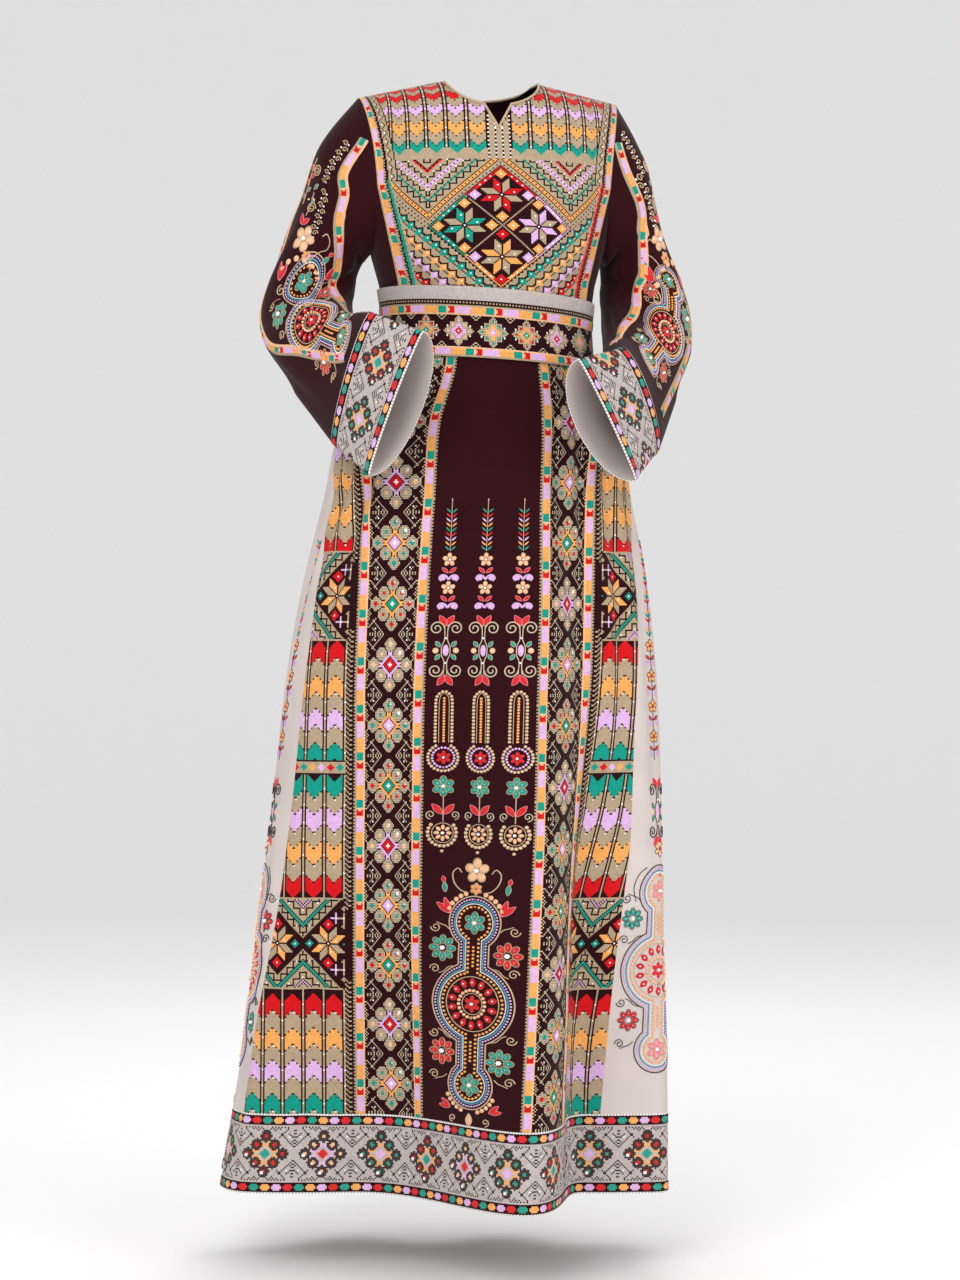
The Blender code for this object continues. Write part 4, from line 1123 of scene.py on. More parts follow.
def feather_panel(name, left, right, inner, looks, seed):
    """A chevron panel. inner is -1 where the band lies on its viewer-left edge, 1 on its other edge."""
    cloth = skirt_part(left, right)
    v = evenly(cloth.length)
    rows = len(v) - 1
    width = cloth.width(v)[:, None]
    cols = math.ceil(width.max() / CELL)
    away = np.minimum(np.arange(cols + 1)[None, :] * CELL, width - SLIVER)
    u = away - width / 2 if inner < 0 else (width / 2 - away)[:, ::-1]
    j, i = cells_of(rows, cols)
    if inner > 0:
        i = cols - 1 - i
    across = i - FEATHER_EDGE
    chart = blank(rows, cols, "maroon")
    for k, section in enumerate(FEATHER_SECTIONS):
        top = round(section["top"] / CELL)
        later = [s["top"] for s in FEATHER_SECTIONS[k + 1 :]] + [cloth.length]
        area = (j >= top) & (j < round(later[0] / CELL))
        feathers(chart, j, across, area, top, section["points"], section["colors"].split())
    for band in STAR_BANDS:
        star_band(chart, j, across, round(band["top"] / CELL), band["rows"])
    top = round(SQUARES_TOP / CELL)
    strip = (j >= top) & (j < top + SQUARES_ROWS)
    chart[strip] = BEIGE
    spot = np.abs((across % 6) - 3) + np.abs(j - top - 3)
    for k, color in enumerate(("teal", "red", "lilac", "orange")):
        chart[strip & (spot <= 2) & (across // 6 % 4 == k)] = THREAD[color]
    chart[(j == top - 1) | (j == top + SQUARES_ROWS)] = MAROON
    chart[i < FEATHER_EDGE] = MAROON
    dash = (i >= 1) & (i < FEATHER_EDGE) & ((i + np.where(i % 2 == 0, j, -j)) % 3 == 0)
    for band in STAR_BANDS:
        start = round(band["top"] / CELL)
        dash &= (j < start + 7) | (j > start + band["rows"] - 8)
    chart[dash] = BEIGE
    return shell(name, cloth.place, u, v[:, None] + 0 * u, chart, looks, seed)


def plain_panel(name, left, right, color, looks, seed):
    cloth = skirt_part(left, right)
    v = evenly(cloth.length, PLAIN_CELL)
    cols = math.ceil(cloth.widths.max() / PLAIN_CELL)
    u = np.linspace(-0.5, 0.5, cols + 1)[None, :] * cloth.width(v)[:, None]
    chart = blank(len(v) - 1, cols, color)
    return shell(name, cloth.place, u, v[:, None] + 0 * u, chart, looks, seed, skip=4)


HEM_ROWS = 50
HEM_GROUND = ("cream", "maroon")


def hem_part(name, first, last, looks, seed):
    """Part of the hem band: wheels on cream between two ribbons."""
    cloth = SkirtCloth(lambda z: first + 0 * z, lambda z: last + 0 * z, HEM_BAND_Z, HEM_Z)
    cols = round(cloth.widths.mean() / CELL)
    v = np.linspace(0.0, cloth.length, HEM_ROWS + 1)
    u = np.linspace(-0.5, 0.5, cols + 1)[None, :] * cloth.width(v)[:, None]
    chart, rise = hem_chart(cols), edge_rise(HEM_ROWS, cols)
    return shell(name, cloth.place, u, v[:, None] + 0 * u, chart, looks, seed, rise, ground=HEM_GROUND)


def wheel_rows(rows, cols, color, *field, **sizes):
    """A chart whose wheels stand in a row across it."""
    turned = blank(cols, rows, color)
    wheels(turned, cols, rows, *field, **sizes)
    return turned.T.copy()


def hem_chart(cols):
    field = HEM_ROWS - 2 * RIBBON_CELLS - 2
    chart = wheel_rows(HEM_ROWS, cols, "cream", 5, RIBBON_CELLS + 1, field, 36, "umber", "white", grow=0.9)
    along = np.arange(cols)[None, :]
    across = np.arange(RIBBON_CELLS)[:, None]
    chart[:RIBBON_CELLS] = barrel_colors(along, across)
    chart[-RIBBON_CELLS:] = barrel_colors(along + 5, across[::-1])
    return chart


class BeltCloth:
    """The belt as flat cloth: u round from the front, v down from its top edge."""

    def __init__(self):
        self.deg = np.linspace(-180.0, 180.0, RING_STEPS + 1)
        arc = lengths(belt_point(self.deg, 0.5))
        self.arc = arc - arc[len(arc) // 2]
        self.length, self.height = arc[-1], BELT_TOP_Z - BELT_BOTTOM_Z

    def place(self, u, v):
        return belt_point(np.interp(u, self.arc, self.deg), np.clip(v / self.height, 0.0, 1.0))


# Rows of stitches down the belt: cream strip, upper ribbon, field of wheels and lower ribbon
BELT_ROWS = 42
BELT_CREAM = 8
BELT_RIBBON = 11
BELT_FIELD = 17
BELT_LOW_RIBBON = 36
BELT_CREAM_RAISE = 0.0004


def belt_shell(looks, seed):
    cloth = BeltCloth()
    cols = round(cloth.length / CELL)
    u, v = np.linspace(cloth.arc[0], cloth.arc[-1], cols + 1), np.linspace(0.0, cloth.height, BELT_ROWS + 1)
    u, v = np.meshgrid(u, v)
    field = BELT_LOW_RIBBON - BELT_FIELD
    chart = wheel_rows(BELT_ROWS, cols, "maroon", 0, BELT_FIELD, field, 21, "sand", "white", 1, grow=0.56)
    along = np.arange(cols)[None, :]
    chart[:BELT_CREAM] = THREAD["cream"]
    chart[BELT_CREAM + 1] = np.where(along % 2 == 0, BEIGE, MAROON)
    across = np.arange(1, RIBBON_CELLS)[:, None]
    chart[BELT_RIBBON:BELT_FIELD] = ribbon_colors(along, across)
    chart[BELT_LOW_RIBBON:] = ribbon_colors(along + 12, across[::-1])
    rise = np.zeros((BELT_ROWS + 1, cols + 1))
    rise[BELT_RIBBON + 1 : BELT_FIELD] = RIBBON_RAISE
    rise[BELT_LOW_RIBBON + 1 : -1] = RIBBON_RAISE
    rise[1:BELT_CREAM] = BELT_CREAM_RAISE
    ground = ("maroon", "cream")
    return shell("belt_cloth", cloth.place, u, v, chart, looks, seed, rise, closed=True, ground=ground)


# Creases of the bodice, from one end to the other in x and z. side is -1 in front
BODICE_CREASES = table(
    "side x0 z0 x1 z1 width depth",
    (-1, -0.128, -0.150, -0.060, -0.236, 0.011, 0.0040),
    (-1, 0.128, -0.150, 0.064, -0.232, 0.011, 0.0040),
    (-1, -0.122, -0.196, -0.084, -0.262, 0.009, 0.0035),
    (-1, 0.118, -0.200, 0.080, -0.262, 0.009, 0.0035),
    (-1, -0.140, -0.030, -0.118, -0.120, 0.012, 0.0030),
    (-1, 0.140, -0.030, 0.118, -0.116, 0.012, 0.0030),
    (1, -0.125, -0.140, -0.048, -0.240, 0.013, 0.0050),
    (1, 0.125, -0.136, 0.052, -0.246, 0.013, 0.0050),
    (1, -0.090, -0.200, -0.070, -0.285, 0.009, 0.0040),
    (1, 0.088, -0.205, 0.066, -0.285, 0.009, 0.0040),
    (1, 0.004, -0.190, -0.002, -0.285, 0.010, 0.0040),
)


class BodiceCloth:
    """The front (side -1) or back panel as flat cloth: u across from its middle, v up from the waist."""

    ROUND = 0.176
    REACH = 0.172
    TALL = 0.400
    TOP_Z = 0.012
    COLUMNS = 44
    SLICES = 420
    STEPS = 400
    GUESS_X = 0.15
    GUESSES = 6

    def __init__(self, side):
        self.side = side
        self.t = np.linspace(0.0, 1.0, 241)
        edge = panel_edge(self.t, 1, side)
        self.edge_x = edge[:, 0]
        self.drop = np.maximum.accumulate((ARM_TOP_Z - edge[:, 2]) / (ARM_TOP_Z - WAIST_Z))
        xs = np.linspace(0.0, self.REACH, self.COLUMNS)
        zs = np.linspace(WAIST_Z, self.TOP_Z, self.SLICES)
        arc = lengths(self.at_height(xs[:, None], zs[None, :]), 1)
        even = np.linspace(0.0, self.TALL, self.STEPS + 1)
        self.heights = np.array([np.interp(even, row, zs) for row in arc])

    def at_height(self, x, z):
        """The point of the panel at x, z, held to the panel's own edges."""
        x, z = pair(x, z)
        share = np.clip(np.abs(x) / self.GUESS_X, 0.0, 1.0)
        for _ in range(self.GUESSES):
            top = top_line(share * TOP_X, self.side)
            drop = np.clip((top - z) / (top - WAIST_Z), 0.0, 1.0)
            t = np.interp(drop, self.drop, self.t)
            share = np.clip(np.abs(x) / np.interp(t, self.t, self.edge_x), 0.0, 1.0)
        across = math.radians(FRONT_SEAM_DEG)
        s = np.sign(x) * np.arcsin(share * math.sin(across)) / across
        return yoke_point(s, t, self.side)

    def place(self, u, v):
        u, v = pair(u, v)
        x = self.ROUND * np.sin(u / self.ROUND)
        row = np.clip(np.abs(x) / self.REACH, 0.0, 1.0) * (self.COLUMNS - 1)
        col = np.clip(v / self.TALL, 0.0, 1.0) * self.STEPS
        point = self.at_height(x, between(self.heights, row, col))
        sunk = np.zeros(x.shape)
        for crease in BODICE_CREASES:
            if crease["side"] == self.side:
                sunk = sunk + line_crease(crease, point[..., 0], point[..., 2])
        point[..., 1] -= self.side * sunk
        return point


def line_crease(crease, x, z):
    """Depth of a crease that runs from one point to another."""
    dx, dz = crease["x1"] - crease["x0"], crease["z1"] - crease["z0"]
    size = math.hypot(dx, dz)
    along = ((x - crease["x0"]) * dx + (z - crease["z0"]) * dz) / size**2
    off = ((x - crease["x0"]) * dz - (z - crease["z0"]) * dx) / size
    return crease["depth"] * crease_run(along) * np.exp(-((off / crease["width"]) ** 2))


CHEST_CELL = dict(across=0.00220, down=0.00182)
DIAMOND_HALF = 42
DIAMOND_HEIGHT = 66
YOKE_FROM = 113
YOKE_ROW = 6.7
LATTICE = 5
# Distances across the panel that lie at and past its edge everywhere
AT_EDGE = 0.209
PAST_EDGE = 0.22
# Bands outside the chest diamond, counted in stitches from its edge
CHEST_LINES = table(
    "start end color",
    (1, 5, "beige"),
    (6, 9, "orange"),
    (10, 17, "zigzag"),
    (17, 19, "teal"),
    (19, 26, "zigzag"),
    (26, 29, "lilac"),
    (29, 37, "zigzag"),
    (37, 39, "red"),
    (40, 60, "zigzag"),
)
# The four stars of the chest diamond: which way from its middle, and the colours of each one's part
CHEST_STARS = table(
    "x y edge beside above petals",
    (0, 1, "red", "lilac", "orange", ("red", "beige")),
    (-1, 0, "teal", "orange", "orange", ("teal", "beige")),
    (1, 0, "lilac", "orange", "orange", ("beige", "lilac")),
    (0, -1, "orange", "lilac", "red", ("beige", "orange")),
)


def chest_chart(cloth, u, v):
    """Stitches of the front panel. u and v are the corners of its cells, v up from the waist."""
    i = np.round((u[:-1, :-1] + u[:-1, 1:]) / 2 / CHEST_CELL["across"]).astype(int)
    j = np.round((v[:-1, :-1] + v[1:, :-1]) / 2 / CHEST_CELL["down"]).astype(int)
    chart = np.full(i.shape, BEIGE)
    half, dy = DIAMOND_HALF, j - DIAMOND_HEIGHT
    ax = np.abs(i)
    folded = half - np.abs(ax - half)
    rise, along = folded + dy - half, folded - dy
    upper = (rise > 0) & ((ax <= half) | (dy > ax - half))
    squares(chart, ax, -dy, ax - dy - half)
    chart[upper] = MAROON
    for line in CHEST_LINES:
        here = upper & (rise >= line["start"]) & (rise < line["end"])
        if line["color"] != "zigzag":
            chart[here] = THREAD[line["color"]]
            chart[here & (rise == line["start"] + 1) & (i % 2 == 0)] = MAROON
            continue
        chart[here] = BEIGE
        wave = np.abs(along % 8 - 4) + line["start"] + 1.5
        chart[here & (np.abs(rise - wave) < 0.8)] = MAROON
        chart[here & (rise == line["start"] + 5) & (along % 8 == 0)] = WHITE
    edge = ax + np.abs(dy)
    chart[edge <= half] = MAROON
    quarter = half // 2
    for part in CHEST_STARS:
        mx, my = part["x"] * quarter, part["y"] * quarter
        near = np.abs(i - mx) + np.abs(dy - my)
        mine = near <= quarter
        chart[mine & (edge >= half - 3)] = THREAD[part["edge"]]
        chart[mine & (edge == half - 2) & (i % 3 == 0)] = WHITE
        chart[mine & (near == quarter) & (edge < half - 4) & ((i + j) % 2 == 0)] = BEIGE
        star(chart, dy, i, my, mx, 4, 7, part["petals"])
        for side in (-1, 1):
            diamond(chart, dy, i, my, mx + 15 * side, 3, part["beside"], "maroon", "white")
            diamond(chart, dy, i, my + 15 * side, mx, 3, part["above"], "maroon", "white")
    chart[edge == half] = MAROON
    return yoke_columns(cloth, chart, i, j, v)


def squares(chart, x, y, out):
    """Jewel squares in diagonal rows of one colour, with stitched squares between them."""
    m, n = x // LATTICE, y // LATTICE
    row = m + n - DIAMOND_HALF // LATTICE
    a, b = x % LATTICE, y % LATTICE
    ring = (a == 0) | (b == 0)
    jewel = ~ring & (row % 2 == 1)
    chart[ring & (row % 2 == 1)] = MAROON
    for k, color in enumerate(("teal", "orange", "lilac", "red")):
        chart[jewel & (row // 2 % 4 == k)] = THREAD[color]
    chart[jewel & (a == 2) & (b == 2)] = WHITE
    chart[(row % 2 == 0) & ((a + b == 2) | (a == 4) & (b == 4))] = MAROON
    chart[(out >= 0) & (out < 3)] = BEIGE
    chart[(out == 1) & (x % 2 == 0)] = MAROON


def yoke_columns(cloth, chart, i, j, v):
    """Chevron columns over the chest, stitched strips beside them and the ribbons at the edges."""
    top = j >= YOKE_FROM
    colors = "beige red beige red beige lilac beige orange beige teal beige".split()
    feathers(chart, -j, i + 6, top, -YOKE_FROM - YOKE_ROW * len(colors) - 1, 1, colors, YOKE_ROW, 12)
    chart[top & (j < YOKE_FROM + 8) & (chart == MAROON)] = BEIGE
    chart[j == YOKE_FROM] = BEIGE
    middle = (v[:-1, 0] + v[1:, 0]) / 2
    edge_x = np.abs(cloth.place(np.full(len(middle), PAST_EDGE), middle)[:, 0])
    reach = cloth.ROUND * np.arcsin(edge_x / cloth.ROUND)
    inset = np.floor(reach[:, None] / CHEST_CELL["across"] - np.abs(i)).astype(int)
    slit = (np.abs(i) <= 6) & top
    chart[slit] = BEIGE
    chart[slit & (np.abs(i) % 4 == 2)] = MAROON
    chart[slit & (np.abs(i) % 4 == 2) & (j % 3 == 0)] = WHITE
    strip = (inset >= 9) & (inset < 17) & (j > YOKE_FROM - 14)
    chart[strip] = BEIGE
    wave = np.abs(j % 6 - 3) + 11
    chart[strip & (np.abs(inset - wave) < 1)] = MAROON
    chart[strip & ((inset == 9) | (inset == 16))] = MAROON
    chart[strip & (inset == 12) & (j % 6 == 0)] = WHITE
    line = (inset >= 9) & (inset < 12) & (j <= YOKE_FROM - 14)
    chart[line] = np.where(i[line] < 0, THREAD["teal"], THREAD["red"])
    chart[line & (inset == 11)] = BEIGE
    ribbon = (inset >= 1) & (inset < 8)
    chart[ribbon] = ribbon_colors(j, np.clip(7 - inset, 0, 6))[ribbon]
    chart[inset < 1] = BEIGE
    chart[inset == 8] = MAROON
    return chart


def bodice_shell(name, side, looks, seed):
    cloth = BodiceCloth(side)
    fine = side < 0
    across, down = (CHEST_CELL["across"], CHEST_CELL["down"]) if fine else (PLAIN_CELL, PLAIN_CELL)
    half = math.ceil(AT_EDGE / across)
    u = (np.arange(-half, half) + 0.5)[None, :] * across * -side
    v = (np.arange(math.ceil(cloth.TALL / down), -1, -1) - 0.5)[:, None] * down
    v = np.maximum(v, 0.0)
    u, v = np.broadcast_arrays(u + 0 * v, v + 0 * u)
    chart = chest_chart(cloth, u, v) if fine else blank(u.shape[0] - 1, u.shape[1] - 1, "maroon")
    return shell(name, cloth.place, u, v, chart, looks, seed, skip=8 if fine else 3, sign=-1.0)


SIDE_SPAN = 0.10


def side_shell(name, hand, looks, seed):
    """A plain side panel under the arm."""

    def surface(u, v):
        c, t = 0.5 + hand * u / SIDE_SPAN, v / SIDE_SPAN
        return side_point(np.clip(c, 0.0, 1.0), np.clip(t, 0.0, 1.0), hand)

    rows, cols = 20, 18
    u, v = np.linspace(-SIDE_SPAN / 2, SIDE_SPAN / 2, cols + 1), np.linspace(0.0, SIDE_SPAN, rows + 1)
    u, v = np.meshgrid(u, v)
    return shell(name, surface, u, v, blank(rows, cols, "maroon"), looks, seed, skip=3)


# Creases of the sleeves, the same for both arms: where each starts round and along the arm
SLEEVE_CREASES = table(
    "at_deg lean_deg start end width_deg depth",
    (150, 30, 0.03, 0.42, 16, 0.0060),
    (122, 20, 0.16, 0.50, 12, 0.0045),
    (168, -30, 0.34, 0.66, 15, 0.0090),
    (138, -10, 0.42, 0.70, 11, 0.0060),
    (110, 24, 0.48, 0.76, 10, 0.0040),
    (190, -14, 0.50, 0.80, 14, 0.0080),
    (30, -24, 0.30, 0.62, 13, 0.0040),
    (-20, 30, 0.52, 0.80, 14, 0.0060),
    (20, 24, 0.66, 0.98, 13, 0.0060),
    (-50, 16, 0.60, 0.97, 15, 0.0080),
    (64, 30, 0.72, 1.00, 12, 0.0050),
    (-92, 20, 0.08, 0.52, 16, 0.0070),
    (-128, 26, 0.12, 0.60, 15, 0.0080),
    (-70, -20, 0.36, 0.70, 14, 0.0060),
    (-110, 10, 0.56, 0.95, 15, 0.0070),
    (-150, 12, 0.48, 0.92, 14, 0.0070),
)
# Arms as flat cloth: u is the turn round the arm in thousandths of a degree, v runs down it over these spans
TO_DEG = 1000.0
SLEEVE_SPAN = 0.5
CUFF_SPAN = 0.1
HALF_ROUND = 0.180


def sleeve_cloth(hand):
    """A sleeve as surface(u, v)."""
    rows = SLEEVE_R if hand < 0 else SLEEVE_L

    def surface(u, v):
        u, v = pair(u, v)
        deg, at = u * TO_DEG, np.clip(v / SLEEVE_SPAN, 0.0, 1.0)
        point = sleeve_point(deg, at, rows, hand)
        sunk = creases_round(SLEEVE_CREASES, deg, at, "start", "end")
        return point - sunk * unit(point - sleeve_hub(at, rows))

    return surface


def cuff_cloth(hand):
    """A cuff as surface(u, v), from its seam to its open end."""
    rows, end = (SLEEVE_R, CUFF_END_R) if hand < 0 else (SLEEVE_L, CUFF_END_L)

    def surface(u, v):
        u, v = pair(u, v)
        return cuff_point(u * TO_DEG, np.clip(v / CUFF_SPAN, 0.0, 1.0), rows, end, hand)

    return surface


def even_round(surface, v, count):
    """Places u round a ring at v that lie evenly far apart, and the ring's length."""
    u = np.linspace(-HALF_ROUND, HALF_ROUND, RING_STEPS + 1)
    arc = lengths(surface(u, v))
    return np.interp(np.linspace(0.0, arc[-1], count + 1), arc, u), arc[-1]


def facing(surface, u, v):
    """1 where side_of points away from the middle of a ring, else -1."""
    base = surface(u, v)
    out = base - base.mean(axis=1, keepdims=True)
    return 1.0 if np.sum(side_of(surface, u, v) * out) > 0 else -1.0


def sleeve_shell(name, hand, looks, seed):
    surface = sleeve_cloth(hand)
    rows, cols = 89, 84
    u = even_round(surface, SLEEVE_SPAN / 2, cols)[0]
    u, v = np.meshgrid(u, np.linspace(0.0, SLEEVE_SPAN, rows + 1))
    chart, sign = blank(rows, cols, "maroon"), facing(surface, u, v)
    return shell(name, surface, u, v, chart, looks, seed, closed=True, skip=3, sign=sign)


def cuff_shell(name, hand, looks, seed):
    surface = cuff_cloth(hand)
    middle = CUFF_SPAN / 2
    cols = 2 * round(even_round(surface, middle, 10)[1] / CELL / 2)
    u = even_round(surface, middle, cols)[0]
    u, v = np.meshgrid(u, np.linspace(0.0, CUFF_SPAN, HEM_ROWS + 1))
    look = dict(rise=edge_rise(HEM_ROWS, cols), ground=HEM_GROUND, sign=facing(surface, u, v))
    return shell(name, surface, u, v, hem_chart(cols), looks, seed, closed=True, **look)


# The neck's binding: places across from the middle, in shares of the slit's half width, then in metres
SLIT_SHARES = (0.0, 0.25, 0.5, 0.75, 1.0)
NECK_PLACES = (0.022, 0.027, 0.032, 0.037, 0.042, 0.047, 0.051, 0.054, 0.0565, 0.0582, 0.0592)
BINDING_LIFT = 0.0017
BINDING_RADIUS = 0.0016


def neck_edge(finish):
    """A soft binding round the neck and down the front slit."""
    half = [share * SLIT_X for share in SLIT_SHARES] + list(NECK_PLACES)
    points = []
    for side in (-1, 1):
        for x in [side * x for x in reversed(half)] + [-side * x for x in half[1:]]:
            z = float(neck_z(x, side))
            points.append((x, float(torso_half(x, z, side)), z + BINDING_LIFT))
    curve = bpy.data.curves.new("neck_edge", "CURVE")
    curve.dimensions = "3D"
    curve.bevel_depth = BINDING_RADIUS
    curve.bevel_resolution = 3
    line = curve.splines.new("POLY")
    line.points.add(len(points) - 1)
    for k, point in enumerate(points):
        line.points[k].co = (*point, 1.0)
    line.use_cyclic_u = True
    curve.materials.append(finish)
    return placed("neck_edge", curve)


# Stage

CAMERA_AT = (-0.634, -3.949, -0.685)
CAMERA_TURN_DEG = -9.0
LENS = 90.0
FLOOR_Z = -1.470
FLOOR_INNER = (0.4, 2.0)
FLOOR_REACH = 5.5
FLOOR_FIRST_BEND = 0.12
FLOOR_BEND = 3.4
FLOOR_RIM = 4.0
FLOOR_SIDES = 96
FLOOR_COLOR = (0.90, 0.89, 0.88, 1.0)
SKY_COLOR = (0.97, 0.98, 1.0, 1.0)
SKY_STRENGTH = 0.82
LIGHTS_AIM = (-0.02, 0.0, -0.68)
LIGHTS = table(
    "name place size power",
    ("key_light", (-1.6, -3.0, 1.4), 2.2, 60.0),
    ("fill_light", (2.2, -2.8, 0.2), 2.4, 30.0),
    ("low_light", (0.0, -3.4, -1.0), 1.8, 14.0),
    ("back_light", (0.6, 2.2, 1.6), 1.6, 30.0),
)


def round_floor():
    """A round floor that curves up far from the dress."""
    rings = [(reach, 0.0) for reach in (*FLOOR_INNER, FLOOR_REACH)]
    for a in np.linspace(FLOOR_FIRST_BEND, math.pi / 2, 12):
        rings.append((FLOOR_REACH + FLOOR_BEND * math.sin(a), FLOOR_BEND * (1.0 - math.cos(a))))
    rings.append((FLOOR_REACH + FLOOR_BEND, FLOOR_RIM))
    around = np.linspace(0.0, 2 * math.pi, FLOOR_SIDES + 1)[:-1]
    points = [(r * math.cos(a), r * math.sin(a), FLOOR_Z + z) for r, z in rings for a in around]
    mesh = bpy.data.meshes.new("floor")
    faces = [face[::-1] for face in strip_faces(FLOOR_SIDES, len(rings))]
    mesh.from_pydata(points, [], [tuple(range(FLOOR_SIDES)), *faces])
    mesh.shade_smooth()
    made, _, shader = surface_material("pale_floor", roughness=0.9, specular=0.1)
    shader.inputs["Base Color"].default_value = FLOOR_COLOR
    mesh.materials.append(made)
    placed("floor", mesh)


def soft_light(name, place, size, power):
    """A round light that faces the dress."""
    light = bpy.data.lights.new(name, "AREA")
    light.shape = "DISK"
    light.size = size
    light.energy = power
    lamp = placed(name, light)
    lamp.location = place
    aim = np.array(LIGHTS_AIM) - np.array(place)
    tip = math.acos(-aim[2] / np.linalg.norm(aim))
    lamp.rotation_euler = (tip, 0.0, math.atan2(aim[1], aim[0]) - math.pi / 2)


def stage():
    """The floor, the lights, the pale surroundings and the camera."""
    round_floor()
    for row in LIGHTS:
        soft_light(**row)
    world = bpy.data.worlds.new("pale_world")
    world.use_nodes = True
    background = world.node_tree.nodes["Background"]
    background.inputs["Color"].default_value = SKY_COLOR
    background.inputs["Strength"].default_value = SKY_STRENGTH
    bpy.context.scene.world = world
    bpy.context.scene.view_settings.view_transform = "Standard"
    camera_data = bpy.data.cameras.new("photo_camera")
    camera_data.lens = LENS
    camera = placed("photo_camera", camera_data)
    camera.location = CAMERA_AT
    camera.rotation_euler = (math.radians(90.0), 0.0, math.radians(CAMERA_TURN_DEG))
    bpy.context.scene.camera = camera


# Raised handwork. Motifs are drawn in millimetres, x across and y down, and h stands off the cloth

LIFT = 0.25
CORD_STEP = 1.8
# Sections of a cord: place across and height, both in cord widths
CORD_LANES = ((-0.5, -0.35), (-0.34, 0.30), (0.0, 0.52), (0.34, 0.30), (0.5, -0.35))
BEAD_SIDES = 6


def lanes_at(lanes):
    """Points of some lanes, each given as its flat points and its height."""
    return np.concatenate([np.column_stack([line, np.full(len(line), high)]) for line, high in lanes])


def strip_faces(n, lanes, last=None):
    """Faces between lanes of n points. last is how many steps of a lane have faces, n where it closes."""
    faces = []
    for k in range(lanes - 1):
        for r in range(n if last is None else last):
            near, far = k * n + r, k * n + (r + 1) % n
            faces.append((near, far, far + n, near + n))
    return faces


def smooth_line(points, closed=False):
    """A polyline with even steps along a soft curve through the points."""
    p = np.asarray(points, float)
    if closed:
        p = np.vstack([p[-1:], p, p[:2]])
    else:
        p = np.vstack([2 * p[0] - p[1], p, 2 * p[-1] - p[-2]])
    made = []
    for a, b, c, d in zip(p[:-3], p[1:-2], p[2:-1], p[3:]):
        count = max(1, round(float(np.linalg.norm(c - b)) / CORD_STEP))
        t = (np.arange(count) / count)[:, None]
        curve = 2 * b + (c - a) * t + (2 * a - 5 * b + 4 * c - d) * t**2 + (3 * b - a - 3 * c + d) * t**3
        made.append(0.5 * curve)
    if not closed:
        made.append(p[-2][None, :])
    return np.vstack(made)


def arc_line(x, y, radius, first, last, squash=1.0):
    """Points of an arc, angles in degrees from straight down towards +x."""
    count = max(4, round(abs(last - first) / 360.0 * 2 * math.pi * radius / CORD_STEP))
    a = np.radians(np.linspace(first, last, count + 1))
    return np.stack([x + radius * squash * np.sin(a), y + radius * np.cos(a)], axis=-1)


